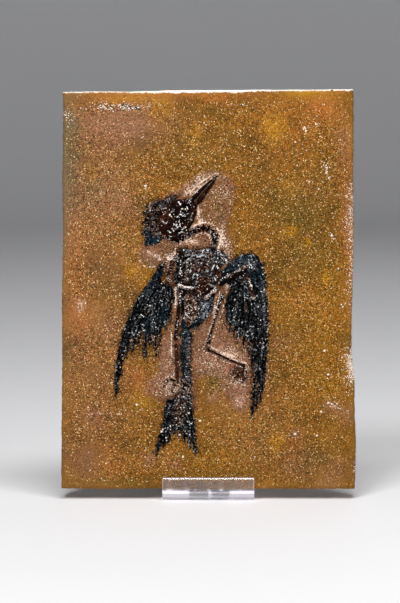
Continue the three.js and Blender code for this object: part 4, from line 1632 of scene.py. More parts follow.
# The feather films
FILMS = (
    FeatherFilm("crest_feathers", CREST, CREST_PLUMES, 11, {
        "glint": spots((-23.5, 106, 2, 0.3), (-22, 98, 2, 0.2)),
        "teal": spots((-20.8, 93.8, 2.4, 1), (-22.5, 96, 2, 0.4)),
        "sheen": spots((-18, 107.4, 2.4, 0.25, 1.4, 0.7), (-21, 98, 2, 0.2)),
        "worn": spots(
            (-14.6, 110, 2.6, 0.4, 1.4, 0.8), (-22.4, 103, 3.6, 0.45, 0.8, 1.4),
            (-18.4, 104.6, 2.4, 0.35, 0.8, 1.6), (-20, 97.6, 2.4, 0.5),
        ),
    }),
    FeatherFilm("body_feathers", BODY, BODY_PLUMES, 23, {
        "sheen": spots(
            (-4, 88.4, 3.6, 1.3, 1.4, 0.8), (-0.4, 66.4, 2.4, 1.5, 0.7, 1.8), (5.8, 86.4, 1.6, 0.4),
            (-1.6, 81, 1.8, 0.3), (-12.2, 87, 1.2, 0.6),
        ),
        "glint": spots(
            (-4.6, 88, 2.6, 0.7, 1.4, 0.6), (-2, 80, 2.2, 0.6), (0.8, 88.6, 2.4, 0.7), (-7, 68, 3, 0.7),
            (4.8, 86, 2.4, 0.9), (-8.4, 76, 1.8, 1, 1.6, 0.4), (-10.6, 90, 1.2, 1),
            (2.6, 80.4, 2, 0.7, 0.6, 1.8), (-6.6, 84.4, 1.4, 0.5, 0.7, 1.4),
        ),
        "red": spots(
            (-2.6, 74.6, 2.4, 1, 1.2, 1.1), (-5, 83.6, 1.6, 1, 0.7, 1.5),
            (2.2, 80.4, 1.5, 0.7, 0.6, 1.8), (-8.4, 79.6, 1.6, 0.6), (-6.4, 66.4, 2, 0.5),
            (-2.4, 84, 2.4, 0.9, 1.2, 0.9),
        ),
        "worn": spots(
            (-6.6, 69, 2.6, 0.75, 0.8, 2), (-8.2, 80.4, 1.6, 0.85, 0.8, 1.6),
            (-5.2, 84, 1.3, 0.75, 0.6, 1.5), (-12.4, 88, 1.4, 0.6), (-7.6, 73.6, 2, 0.7),
            (1.8, 83.6, 1.4, 0.6, 0.7, 1.4), (-1.6, 84.6, 1.8, 0.68, 1.2, 0.9), (0.6, 78, 1.4, 0.5),
            (-2.8, 73.4, 1.8, 0.35),
        ),
        "teal": spots(
            (-8.4, 61.2, 2.6, 0.9), (-3.5, 63.2, 2.4, 0.4), (4.6, 82.4, 1.6, 0.6),
            (-0.2, 66, 2.4, 1.2, 0.7, 1.6),
        ),
    }),
    FeatherFilm("left_wing_feathers", LEFT_WING, LEFT_WING_FEATHERS, 37, {
        "glint": spots(
            (-25, 65, 3, 0.6), (-26, 59, 3, 0.35), (-20.4, 60.6, 1.2, 0.9, 0.6, 2.8),
            (-29.5, 56, 3, 0.2), (-17, 84.8, 0.9, 1),
        ),
        "worn": spots(
            (-26.4, 54.4, 3, 0.5), (-18.6, 55, 3, 0.5), (-23.2, 67, 1.2, 0.5, 0.6, 2.4),
            (-15.4, 71, 1.4, 0.5, 0.7, 2.2), (-28.9, 55.8, 0.9, 0.7, 0.6, 2.2), (-16.6, 78.6, 1.4, 0.4),
        ),
        "sheen": spots(
            (-21, 65, 1, 0.4, 0.6, 3.4), (-15.6, 66, 1.2, 0.25, 0.6, 3), (-16.9, 84.6, 0.8, 0.6),
        ),
        "teal": spots(
            (-17, 66, 2.6, 0.7, 0.7, 2), (-17.4, 81, 2, 0.7), (-27.4, 54, 1.6, 0.7, 0.7, 2.2),
            (-22, 62, 2, 0.5, 0.7, 2), (-22.6, 76, 2, 0.7, 0.8, 1.8),
        ),
    }),
    FeatherFilm("right_wing_feathers", RIGHT_WING, RIGHT_WING_FEATHERS, 53, {
        "glint": spots(
            (15.6, 84.2, 1.6, 0.9), (10, 71, 3, 0.3), (21, 72, 2, 0.5, 0.6, 4), (15, 58, 4, 0.35),
            (8, 81.5, 2, 0.6), (12.2, 56.6, 1.6, 0.6),
        ),
        "worn": spots(
            (15.4, 54, 2.6, 0.5), (9.5, 61.5, 2, 0.3), (18, 42, 2, 0.55, 0.4, 3),
            (13.6, 68, 1.6, 0.4, 0.7, 3), (13.6, 79.4, 1.4, 0.8), (20.6, 56, 2, 0.35, 0.5, 3),
        ),
        "sheen": spots((20.6, 70, 1.6, 0.25, 0.8, 6), (15, 84.4, 2.2, 0.5, 1.6, 0.7)),
        "teal": spots(
            (9, 83.4, 3, 0.8), (17, 80, 2.6, 0.6, 1, 1.4), (7.6, 66, 1.6, 0.7),
            (13.6, 87, 3, 0.8, 1.6, 0.6), (20.4, 78, 1.4, 0.6, 0.7, 3),
        ),
    }),
    FeatherFilm("tail_feathers", TAIL, TAIL_FEATHERS, 71, {
        "teal": spots((-8.6, 58.4, 2.4, 0.9, 0.9, 1.3), (-9.4, 48, 1.2, 0.6, 0.8, 5)),
        "red": spots((-7.6, 48, 1.2, 0.5, 0.6, 6), (-10.6, 29, 2.4, 0.5)),
        "glint": spots(
            (-8, 50, 1.6, 0.4, 0.7, 6), (-8, 28, 2.6, 0.4), (-14, 23.5, 2.6, 0.4), (-17, 21, 1.8, 0.4),
            (-8.4, 40.6, 1.8, 1, 1, 1.4),
        ),
        "worn": spots(
            (-8.4, 37, 3.4, 0.62), (-11.2, 32.4, 2.4, 0.45), (-10.8, 26.6, 2, 0.68, 1, 1.6),
            (-12.2, 20.5, 2, 0.5), (-7.4, 50, 1.2, 0.5, 0.6, 5),
        ),
        "sheen": spots((-7.6, 34.6, 2, 0.35), (-8.2, 41, 1.6, 0.5), (-7.8, 52, 1.4, 0.4, 0.6, 6)),
    }, base_streak=1.0),
)


# What is drawn on the slab: its stains, calm and pale places, rims of painted highlight beside the
# bones, scratches and breaks
STAINS: dict[Stain, tuple[Spot, ...]] = {
    Stain.YELLOW: spots(
        (25, 136, 5, 0.7), (31.2, 97.3, 2.3), (37.6, 93, 1.3), (45, 79.6, 2.4, 0.7), (-25, 33, 3, 0.7),
        (-29, 82.5, 2.6, 0.8), (-24, 79, 3, 0.4), (26, 17.6, 3.2, 0.8), (38, 149.5, 5, 0.8, 1.6, 0.5),
        (-18, 144, 4, 0.5), (-5, 134.5, 3, 0.5), (31, 114, 2.6, 0.5), (-44, 119, 3, 0.4),
        (15, 24, 8, 0.25), (46, 39, 3, 0.5), (-31, 147.8, 2.4, 0.5, 4, 0.7), (44, 63, 12, 0.25, 1, 1.6),
        (2, 10, 12, 0.2),
    ),
    Stain.ORANGE: spots(
        (43, 144, 7), (-30, 149, 9, 0.9, 2.2, 0.4), (2, 149, 9, 0.9, 2.2, 0.3), (-27, 42, 4.5, 0.8),
        (-48.5, 66, 5, 0.9, 0.8, 1.3), (33, 17, 3.5, 0.8), (-50, 90, 8, 0.5, 0.5, 3),
        (53, 100, 6, 0.7, 0.5, 5), (36, 74, 5, 0.5), (30, 136, 14, 0.35), (-37, 8.5, 4, 0.5),
        (-41, 18, 4, 0.5), (40, 60, 10, 0.3), (0, 116, 12, 0.25),
    ),
    Stain.PINK: spots(
        (-22, 11, 3.4, 0.8), (-13, 9.5, 2.6, 0.6), (33, 9, 5, 0.6), (51, 130, 5, 0.6, 0.6, 1.8),
        (53.5, 104, 3, 0.8, 0.6, 3), (47, 30, 3, 0.6), (-30, 137, 10, 0.6, 1.6, 0.7), (53, 28, 3, 0.6),
        (11.8, 33, 3.4, 0.9), (-20.6, 37.6, 3.2, 0.8), (1.6, 35, 2.6, 0.7), (-22, 88.4, 3.2, 0.7),
        (-44, 27, 4, 0.6), (-48, 10, 8, 0.4), (33.4, 20.4, 1.6, 0.8), (46, 5, 7, 0.5),
        (-33, 108, 5, 0.4), (-36, 60, 5, 0.4), (28, 55, 4, 0.4), (-44, 112, 16, 0.55, 1, 1.6),
        (-44, 50, 16, 0.45, 1, 2.4), (-38, 139, 16, 0.5, 1.4, 0.5), (-53, 126, 8, 0.6, 0.5, 2.2),
        (6, 50, 10, 0.8, 1.1, 0.9), (-15.6, 48, 6, 0.6, 0.6, 1.6), (-6, 93.4, 4, 0.7, 1.8, 0.6),
        (12, 40, 8, 0.6), (16, 22, 13, 0.35),
    ),
    Stain.OLIVE: spots(
        (-52.5, 130, 8, 0.8, 0.5, 1.8), (33, 104, 9, 0.6), (24, 110, 7, 0.4),
        (-36, 2.6, 9, 0.8, 1.5, 0.2), (1, 40.6, 4, 1), (36, 88, 7, 0.4), (-53, 50, 5, 0.2, 0.4, 2),
        (40, 12, 8, 0.5), (10, 12, 10, 0.15), (-6, 128, 12, 0.45, 1.6, 0.8), (-40, 76, 8, 0.3),
        (-25, 54, 4, 0.5), (40, 95, 14, 0.45, 0.9, 1.8), (34, 58, 10, 0.3), (45, 118, 8, 0.3),
        (4, 108, 6, 0.45, 0.8, 1.4),
    ),
    Stain.GREY: spots(
        (-54, 122, 7, 0.9, 0.6, 3.2), (-51.5, 140, 4, 0.6, 0.8, 1.2), (-43, 111, 5, 0.45),
        (-38, 118, 8, 0.25), (-54.5, 92, 3, 0.5, 0.5, 5),
    ),
    Stain.RUST: spots(
        (12, 42.7, 3.3, 1.25), (-14.4, 80.6, 1.9, 1, 0.9, 2.4), (-13, 39.4, 2.4, 0.4),
        (-16.8, 79.8, 1.2, 0.9), (6.4, 76.2, 1.5, 0.5), (4.4, 80.6, 1.2, 0.8, 0.8, 2),
        (13.6, 79.4, 1.6, 0.5), (-0.8, 53, 1.3, 0.7), (-10.8, 62, 1.4, 0.4, 0.6, 4),
    ),
}
CALM_SPOTS = spots(
    (-46, 9, 8, 0.6), (-31, 138, 8, 0.5, 1.6, 0.7), (48, 8, 8, 0.6), (40, 146, 9, 0.6, 1.6, 0.5),
    (25, 136, 5, 0.5), (-22, 88.4, 3.2, 0.6), (-48, 64, 6, 0.5), (-20, 148.5, 30, 0.6, 1, 0.12),
)
PALE_SPOTS = spots(
    (-6.6, 112.6, 2.4, 0.34, 1.2, 0.9), (-2.6, 116.4, 2.4, 0.34), (-3.4, 103.4, 1, 0.5, 0.8, 2.6),
    (-2.6, 100.4, 1.2, 0.5), (6, 92, 3, 0.35), (5, 113, 5, 0.15), (-8, 93, 1.7, 0.6, 2.4, 0.6),
    (5.4, 96, 1.4, 0.5, 0.7, 2.2), (-14, 86.6, 2, 0.7), (-12.4, 74, 0.9, 0.9, 0.8, 4.5),
    (2.4, 69, 0.9, 0.8, 0.8, 5), (12, 33, 2.4, 0.25), (11, 40, 3.4, 0.4, 1, 0.5),
    (-13.6, 38, 3.4, 0.36), (1.6, 47.6, 7, 0.13, 1.2, 0.7), (-48, 69, 2, 0.4),
    (8.2, 50.6, 5, 0.5, 1, 0.3), (14.6, 44.6, 1.4, 0.7, 0.5, 1.4), (-15, 50, 2, 0.15, 0.6, 3.4),
    (7.4, 76.8, 1.6, 0.6), (6.6, 87.4, 2, 0.4), (54, 46, 1.8, 0.8, 0.8, 3.4),
)
# Pale rims beside the bones, the neck and the bill: painted highlights where their edges would catch
# the light.
PAINTED_RIM_HIGHLIGHTS = strokes(
    (0.3, -9, 111, -5.4, 113.6, -1.4, 116.6, 3, 119.2),
    (0.25, -6.2, 110.4, -2.4, 114.2, 1.4, 117.2, 4.2, 119),
    (0.45, -3.8, 107.6, -3.7, 104.6, -3.9, 101.6, -2.9, 100.2),
    (0.4, -6.4, 98.6, -3.6, 99.9, -1.2, 100.5, 1.8, 99.6, 4.2, 96.8, 4.6, 93.4, 3.6, 90.6),
    (0.35, -11, 92.6, -6.6, 94.4, -3.8, 96, -1.4, 96.6, 0.4, 95.6, 1, 93.6),
    (0.28, -12.3, 77.4, -12.2, 73, -12.5, 68), (0.18, -13.6, 62, -14, 55, -13.5, 48, -13.2, 42.4),
    (0.22, 4.4, 74.6, 3.4, 69, 1.4, 62, -1.2, 55, -1.9, 52.2, -0.4, 51.2),
    (0.2, 6.9, 74.6, 5.4, 67, 3, 60, 1.2, 54.6), (0.35, 0.4, 53.9, 6.2, 50.6, 10.6, 48.3, 14.4, 47.2),
    (0.2, -0.6, 51.6, 5.2, 48.6, 10.2, 46.2), (0.3, -23, 89.8, -19.6, 87.4, -16.9, 85.2),
    (0.25, -20.6, 89.4, -18.4, 87.4, -16.6, 85.4),
    (0.3, -14.8, 85.2, -12.8, 88, -12.2, 91.4, -10, 92.2), (0.3, -26, 86.4, -24, 84, -20, 83.6),
)
SCRATCHES = strokes(
    (0.35, -42, 144.2, -33, 143.7, -24, 144), (0.35, -41, 145.3, -33, 145, -24, 145.2),
    (0.35, 8, 145.2, 18, 144.8), (0.35, -46, 28.6, -33, 28.2),
    (0.35, -54.6, 142.6, -53.2, 140.4, -51.4, 139), (0.35, -49, 66, -46.5, 70),
    (0.35, 48, 30.6, 52, 29.4, 55, 29.6),
)
CRUSHED_SPOTS = spots(
    (54.6, 101, 2, 1.5, 0.8, 6), (54.8, 82, 1.8, 1.3, 0.8, 7), (53.8, 46, 2.4, 1.7, 0.8, 2.6),
    (46.6, 78, 1, 0.4, 0.5, 1.8), (45, 120, 1.2, 0.7, 0.7, 1.8), (46.4, 32, 1.8, 0.8, 1.4, 0.6),
    (36.6, 136, 1, 0.7), (40.6, 137.4, 1, 0.6), (46.8, 95, 1.1, 0.7, 0.7, 1.4), (-13.4, 86.6, 2, 0.6),
    (-8.8, 40, 1.8, 0.8), (33, 20.6, 1.2, 0.6), (12, 33, 2.6, 0.15), (-14, 39, 3.4, 0.35),
    (-33, 28.4, 8, 0.25, 1, 0.1), (-32.8, 144.5, 1.1, 1.3, 8, 1), (-14.4, 85, 2.6, 0.5),
    (12, 145, 9, 0.3, 1, 0.1), (-24, 114.2, 1.2, 0.6), (-53, 141, 2.2, 0.4),
    (22.6, 55, 1.2, 0.2, 0.6, 12),
)
SOOTY_SPOTS = spots(
    (-14.6, 83, 2.2, 0.35, 0.8, 1.4), (-12.4, 89.4, 1.4, 0.35), (12.2, 43, 2.4, 0.3),
    (5.6, 76, 1.3, 0.4), (-13, 40, 2.2, 0.3), (-0.9, 53.2, 1.2, 0.5), (-23, 51, 4, 0.25, 0.8, 1.4),
    (-32.8, 144.3, 0.9, 0.8, 9, 1), (6.6, 75.6, 1.4, 0.3), (4.7, 80.6, 1, 0.9, 0.8, 2.6),
    (-9.8, 50, 0.6, 0.5, 1, 14), (11.6, 43, 2.4, 0.2), (12, 145.2, 9, 0.2, 1, 0.07),
)


# The slab


def along_edge(edge: tuple[Point, ...], place: Array) -> Array:
    """The edge's offset at each place along it."""
    return np.interp(place, *np.array(edge, dtype=float).T)


def rough_edge(edge: tuple[Point, ...], place: Array, roughness: float, seed: int) -> Array:
    """The edge's offset, with fine breaks."""
    return along_edge(edge, place) + roughness * noise(place, 0 * place, 1.3, seed, 2)


def even_shares(columns: int, rows: int) -> tuple[Array, Array]:
    """Even steps from 0 to 1, across and up, over a grid."""
    return np.meshgrid(np.linspace(0, 1, columns + 1), np.linspace(0, 1, rows + 1))


@dataclass(frozen=True)
class Spall:
    """A shallow break out of the slab's front edge, cut by a part of an ellipsoid."""

    at: Place
    size: Place
    lowest: float = -1.2

    def bite(self, points: Array) -> Array:
        """Moves the points that the break took away down onto its surface.

        Args:
            points: rows of u, v and h.

        Returns:
            The moved rows.
        """
        offset = (points - np.array(self.at)) / np.array(self.size)
        inside = (offset**2).sum(axis=1) < 1.0
        take = inside & (points[:, 2] > self.lowest)
        depth = np.sqrt(unit_clip(1 - offset[:, 0] ** 2 - offset[:, 1] ** 2))
        sunk = self.at[2] - self.size[2] * depth
        moved = points.copy()
        moved[take, 2] = np.minimum(points[take, 2], sunk[take])
        return moved


@dataclass(frozen=True)
class Slab:
    """The resin slab with its raised ground, broken edges and blooms of colour, and a highlight painted
    along its top front edge.
    """

    columns: int = 212
    rows: int = 288
    side_rows: int = 11
    edge_round: float = 0.9
    back_inset: float = 1.1
    left_edge: tuple[Point, ...] = (
        (0.2, -55.3), (18, -55.3), (44, -55.1), (70, -55.2), (96, -54.9), (118, -55.2), (138, -54.9),
        (150.3, -55),
    )
    right_edge: tuple[Point, ...] = (
        (0.1, 55.1), (6, 55.5), (20, 55.6), (29, 55.2), (41, 55.2), (46, 54.6), (52, 54.1), (60, 54.1),
        (74, 54.5), (88, 54.9), (98, 55.1), (118, 54.9), (134, 55.1), (150.1, 55),
    )
    bottom_edge: tuple[Point, ...] = (
        (-55.3, 0.2), (-40, 0), (-20, 0.15), (0, 0), (22, 0.1), (40, 0), (55.1, 0.1),
    )
    top_edge: tuple[Point, ...] = (
        (-55, 150.1), (-41, 150.3), (-30, 150.2), (-16, 150.7), (-4, 150.8), (12, 150.9), (40, 151),
        (55, 151.1),
    )
    # How far down from the top edge the painted highlight reaches, at places along the edge.
    painted_highlight_width: tuple[Point, ...] = (
        (-55, 0.4), (-36, 0.45), (-28, 0.6), (-14, 1.2), (10, 1.1), (17, 0.7), (55, 0.6),
    )
    spalls: tuple[Spall, ...] = (
        Spall((56, 48.5, 1), (3.6, 9.5, 2.6)), Spall((55.9, 104, 0.9), (2.2, 9, 2)),
        Spall((-31, 151.3, 0.9), (10, 1.8, 1.9)), Spall((4, 151.2, 0.9), (14, 1.6, 1.9)),
        Spall((56.3, 8.5, 1), (2, 5.5, 2.2)),
    )

    def build(self, finish: Material, films: tuple[FeatherFilm, ...]) -> None:
        """Draws the slab round the films and dresses it.

        Args:
            finish: its material.
            films: the feather films that lie on it.
        """
        draft = self._front(films)
        index = np.arange(len(draft.points)).reshape(self.rows + 1, -1)
        draft.faces += stacked(*corners_of(index)).tolist()
        self._close(draft, self._walls(draft, border_of(index)))
        publish("resin_slab", draft, finish, ("slab",))

    def _front(self, films: tuple[FeatherFilm, ...]) -> Draft:
        """The front's points and the values kept on them, still without faces.

        Args:
            films: the feather films that lie on the slab.

        Returns:
            The front.
        """
        s, t = even_shares(self.columns, self.rows)
        u, v = self._placed(s, t)
        from_top = (1 - t) * SLAB_HEIGHT
        border = np.minimum.reduce(
            [s * SLAB_WIDTH, (1 - s) * SLAB_WIDTH, t * SLAB_HEIGHT, from_top]
        )
        film = np.maximum.reduce([sheet.depth(u, v, 6) for sheet in films])
        halo = smooth_step(-0.9, 0.7, HALO.depth(u, v) + 0.7 * noise(u, v, 3.4, 31, 2))
        points = stacked(u, v, self._relief(u, v, film, halo) - self._wear(u, v, border))
        before = points[:, 2].copy()
        for spall in self.spalls:
            points = spall.bite(points)
        broken = smooth_step(0.05, 0.5, before - points[:, 2])
        points[:, 2] += 0.12 * broken * noise(points[:, 0], points[:, 1], 1.0, 65, 2)
        values = self._values(u, v, film, halo)
        values["calm"] = unit_clip(0.8 * bell(border, 3.0) + sum_of_spots(CALM_SPOTS, u, v))
        # A painted highlight along the top front edge, as if lit from above, made ragged by noise.
        lit = 0.5 + 0.8 * (along_edge(self.painted_highlight_width, u) - from_top)
        values["lit"] = unit_clip(lit + 0.12 * noise(u, v, 1.4, 79, 2))
        values["chip"] = np.clip(values["chip"] + 0.4 * broken.reshape(u.shape), 0.0, 0.75)
        return Draft(points, [], {name: array.ravel() for name, array in values.items()})

    @staticmethod
    def _relief(u: Array, v: Array, film: Array, halo: Array) -> Array:
        """How far the ground stands out, with a bed under the films.

        Args:
            u: places across.
            v: places up.
            film: how deep each place lies under a film.
            halo: 1 on the raised ground, and 0 beyond it.

        Returns:
            The height at each place.
        """
        bed = smooth_step(-0.3, 0.3, film)
        sand = 0.07 * noise(u, v, 2.6, 3, 3) + 0.05 * noise(u, v, 0.9, 8, 1)
        raised = HALO_LEVEL * halo * (1 + 0.12 * noise(u, v, 2.2, 12, 2)) * (1 - bed)
        return sand + raised + 0.1 * bed

    def _wear(self, u: Array, v: Array, border: Array) -> Array:
        """How much has crumbled off near the front's border.

        Args:
            u: places across.
            v: places up.
            border: how far each place is from the border.

        Returns:
            The lost height at each place.
        """
        worn = unit_clip(1 - border / self.edge_round)
        crumble = np.clip(0.5 + 0.7 * noise(u, v, 1.7, 44, 3), 0.0, 1.6)
        return worn**1.6 * (0.35 + 0.5 * crumble)

    @staticmethod
    def _values(u: Array, v: Array, film: Array, halo: Array) -> Values:
        """Values that steer the resin's colour.

        Args:
            u: places across.
            v: places up.
            film: how deep each place lies under a film.
            halo: 1 on the raised ground, and 0 beyond it.

        Returns:
            The values, by name.
        """
        # Painted highlight: pale rims beside the bones, broken up by noise.
        rim = on_strokes(PAINTED_RIM_HIGHLIGHTS, u, v) - 0.25 * unit_clip(0.5 - noise(u, v, 2.0, 51, 2))
        outside = np.clip(-film, 0.0, 20.0)
        soot = 0.75 * np.exp(-outside / 0.6) + 0.14 * np.exp(-outside / 2.2)
        soot += sum_of_spots(SOOTY_SPOTS, u, v)
        marks = np.zeros(u.shape)
        for scratch in SCRATCHES:
            near = nearest_on_line(u, v, open_curve(scratch.points))
            broken = noise(near.along, 0 * near.along, 0.8, 21) > -0.1
            marks = np.maximum(marks, bell(near.distance, scratch.half_width) * broken)
        values = {stain.value: sum_of_spots(patches, u, v) for stain, patches in STAINS.items()}
        return values | {
            "halo": halo,
            "rim": unit_clip(rim),
            "pale": sum_of_spots(PALE_SPOTS, u, v),
            "soot": soot * smooth_step(-0.9, 0.2, noise(u, v, 1.3, 19, 2)),
            "chip": 0.5 * marks + 0.6 * sum_of_spots(CRUSHED_SPOTS, u, v),
        }

    def _placed(self, s: Array, t: Array) -> tuple[Array, Array]:
        """Places between the slab's four edges.

        Args:
            s: shares of the way from the left edge to the right edge.
            t: shares of the way from the bottom edge to the top edge.

        Returns:
            The places' u and v.
        """
        low_v, high_v = 0.1, SLAB_HEIGHT - 0.1
        v_line = low_v + (high_v - low_v) * t
        u_line = -SLAB_WIDTH / 2 + SLAB_WIDTH * s
        left = rough_edge(self.left_edge, v_line, -0.04, 81)
        right = rough_edge(self.right_edge, v_line, 0.06, 82)
        bottom = rough_edge(self.bottom_edge, u_line, -0.03, 83)
        top = rough_edge(self.top_edge, u_line, 0.06, 84)
        return left + (right - left) * s, bottom + (top - bottom) * t

    def _walls(self, draft: Draft, ring: list[int]) -> list[int]:
        """Adds the slab's rough sides.

        Args:
            draft: the slab so far, which gets the new points and faces.
            ring: the numbers of the points round the front.

        Returns:
            The numbers of the points round the back.
        """
        rim = draft.points[ring]
        outward = self._outward(rim)
        around = np.arange(len(ring)) * 0.52
        for row in range(1, self.side_rows + 1):
            share = row / self.side_rows
            level = rim[:, 2] * (1 - share) - SLAB_THICKNESS * share
            swell = 0.16 * noise(around, np.full(len(ring), level.mean()), 1.1, 90, 3)
            swell += 0.12 * math.sin(math.pi * share)
            swell -= 0.45 if row == self.side_rows else 0.0
            place = rim[:, :2] + outward * swell[:, None]
            following = draft.extend(np.column_stack([place, level]))
            draft.faces += band(ring, following)
            ring = following
        return ring

    @staticmethod
    def _outward(rim: Array) -> Array:
        """The direction out of the slab at each border point.

        Args:
            rim: rows of the border's points.

        Returns:
            Rows of directions.
        """
        tangent = np.roll(rim[:, :2], -1, axis=0) - np.roll(rim[:, :2], 1, axis=0)
        tangent /= np.linalg.norm(tangent, axis=1, keepdims=True)
        return np.stack([tangent[:, 1], -tangent[:, 0]], axis=1)

    def _close(self, draft: Draft, ring: list[int]) -> None:
        """Adds a back whose grid is half as fine as the front's.

        Args:
            draft: the slab so far, which gets the new points and faces.
            ring: the numbers of the points round the back.
        """
        columns, rows = self.columns // 2, self.rows // 2
        s, t = even_shares(columns, rows)
        inset_s, inset_t = self.back_inset / SLAB_WIDTH, self.back_inset / SLAB_HEIGHT
        u, v = self._placed(inset_s + s * (1 - 2 * inset_s), inset_t + t * (1 - 2 * inset_t))
        height = -SLAB_THICKNESS + 0.05 * noise(u, v, 3.0, 97, 3) + 0.02
        index = np.array(draft.extend(stacked(u, v, height))).reshape(rows + 1, -1)
        coarse = border_of(index)
        for k in range(0, len(ring), 2):
            start, middle, end = (ring[(k + step) % len(ring)] for step in range(3))
            beside, ahead = coarse[k // 2], coarse[(k // 2 + 1) % len(coarse)]
            draft.faces.append((start, beside, ahead, end, middle))
        draft.faces += stacked(*corners_of(index)[::-1]).tolist()


# The skeleton


def even_values(draft: Draft, **levels: float) -> Values:
    """Values that are the same at all points, but for a soft wander.

    Args:
        draft: the mesh.
        levels: the middle of each value, by name.

    Returns:
        The values, by name.
    """
    u, v = draft.points[:, 0], draft.points[:, 1]
    wander = 0.6 + 0.8 * unit_clip(0.5 + 0.5 * noise(u, v, 2.2, 29, 2))
    values = {name: unit_clip(level * wander) for name, level in levels.items()}
    return values | {"gleam": on_strokes(GLEAMS, u, v)}


def with_skirt(height: Array, depth: Array) -> Array:
    """A bone's height with a low skirt round it, and nothing beyond."""
    edged = np.where(depth > 0, height, BONE_SKIRT)
    return np.where(depth > -0.25, edged, FILM_FLOOR - 1)


@dataclass(frozen=True)
class Bone:
    """One piece of the skeleton, and how much red, pale and glint its colour has."""

    node: str
    _: KW_ONLY
    red: float = 0.3
    pale: float = 0.1
    glint: float = 0.3

    def dress(self, draft: Draft, finish: Material) -> None:
        """Gives the drawn bone its colour and its place."""
        draft.values = even_values(draft, red=self.red, pale=self.pale, glint=self.glint)
        publish(f"{self.node}_fossil", draft, finish, (self.node,))


@dataclass(frozen=True)
class LimbBone(Bone):
    """A single long bone between two points."""

    start: Point
    end: Point
    shaft: float
    head: float
    bow: float = 0.0

    def line(self) -> Array:
        """Its middle line, bowed a little to its left.

        Returns:
            Rows of points.
        """
        start, end = np.array(self.start, dtype=float), np.array(self.end, dtype=float)
        across = left_of(end - start) / np.linalg.norm(end - start)
        middle = (start + end) / 2 + across * self.bow * 2
        return curve_through(start, middle, end, 16)

    def build(self, finish: Material, seed: int) -> None:
        """Draws the bone and dresses it.

        Args:
            finish: its material.
            seed: picks one pattern of lumps.
        """
        line = self.line()
        width = limb_width(length_of(line), self.shaft, self.head)
        self.dress(Tube(line, width, seed=seed).draft(), finish)


LIMB_BONES = (
    LimbBone("left_coracoid", (-10.2, 90), (-10.5, 79.4), 0.6, 1.1, glint=0.4),
    LimbBone("left_humerus", (-13.4, 86.4), (-15.6, 77.2), 0.85, 1.2, red=0.9, pale=0.35),
    LimbBone("left_femur", (-5.7, 75.7), (-11.9, 76.9), 0.6, 0.95, bow=0.4, pale=0.6, glint=1),
    LimbBone(
        "left_tibiotarsus", (-10.2, 74.9), (-12.3, 55.8), 0.7, 1, bow=-0.2, red=0.4, glint=0.5,
    ),
    LimbBone(
        "left_tarsometatarsus", (-12, 54.9), (-11.6, 41.2), 0.7, 0.85, red=1, pale=0.2, glint=0.15,
    ),
    LimbBone("right_shoulder_blade", (2.9, 89.6), (8, 84.4), 0.5, 0.75, pale=0.35, glint=0.9),
    LimbBone("right_humerus", (4, 85.2), (2.4, 78.2), 0.75, 1.15, red=0.7),
    LimbBone("right_femur", (-1.4, 71.5), (3.7, 75.6), 0.6, 0.95, pale=0.45, glint=0.9),
    LimbBone(
        "right_tibiotarsus", (5.6, 73.6), (-0.1, 54.3), 0.5, 0.95, bow=-0.25, pale=0.05, glint=0.5,
    ),
    LimbBone(
        "right_tarsometatarsus", (-0.5, 52.8), (14.2, 46.2), 0.4, 0.85, bow=-0.3, pale=0.2, glint=0.1,
    ),
    LimbBone("right_radius", (4.1, 78.4), (15, 84.2), 0.45, 0.6, pale=0.35, glint=1),
    LimbBone("right_ulna", (3.9, 76.8), (14.9, 82.8), 0.8, 0.95, red=0.05, pale=0, glint=0.1),
    LimbBone("right_hand", (14.8, 80.8), (17.3, 71.2), 0.6, 0.9, red=0.9, pale=0.3, glint=0.6),
)


@dataclass(frozen=True)
class Vertebrae:
    """A row of vertebrae along a line, each a lumpy body with processes on its sides."""

    points: tuple[Point, ...]
    count: int
    half_width: float
    level: float = BONE_LEVEL + 0.1

    def drafts(self, seed: int) -> list[Draft]:
        """Draws each vertebra, and the thin core that holds them in a row.

        Args:
            seed: picks one pattern of lumps.

        Returns:
            The drawn parts.
        """
        line = resampled(open_curve(self.points), 0.1)
        length = length_of(line)
        half = 0.5 * (length / self.count) * 0.98
        body_width = limb_width(2 * half, 0.75, 1.0)
        wing_width = limb_width(2 * self.half_width, 0.4, 0.55)
        made = []
        for i in range(self.count):
            centre, ahead = (
                line[min(len(line) - 1, int((i + share) / self.count * (len(line) - 1)))]
                for share in (0.5, 0.9)
            )
            along = unit(ahead - centre)
            across = left_of(along)
            body = np.array([centre - along * half, centre + along * half])
            wings = np.array([
                centre - across * self.half_width + along * 0.15,
                centre + across * self.half_width + along * 0.15,
            ])
            made.append(Tube(body, body_width, 0.8, self.level, 12, 0.16, 0.1, seed + i))
            made.append(Tube(wings, wing_width, 0.9, self.level, 10, 0.16, 0.12, seed + 50 + i))
        core_width = limb_width(length, 0.32, 0.36)
        made.append(Tube(line, core_width, 1.0, self.level - 0.1, 10, 0.3, 0.05, seed + 99))
        return [tube.draft() for tube in made]


@dataclass(frozen=True)
class BoneCluster(Bone):
    """Several strokes of bone that make one piece.

    Each stroke is a row: half its shaft's width, half its heads' width, then u and v of its
    points.
    """

    vertebrae: tuple[Vertebrae, ...] = ()
    rows: tuple[tuple[float, ...], ...] = ()

    def build(self, finish: Material, seed: int) -> None:
        """Draws the strokes as one mesh and dresses it.

        Args:
            finish: its material.
            seed: picks one pattern of lumps.
        """
        drafts = [draft for part in self.vertebrae for draft in part.drafts(seed)]
        for order, (shaft, head, *places) in enumerate(self.rows):
            line = open_curve(pairs(places))
            width = limb_width(length_of(line), shaft, head)
            drafts.append(Tube(line, width, sides=12, spacing=0.22, seed=seed + order).draft())
        self.dress(joined(drafts), finish)


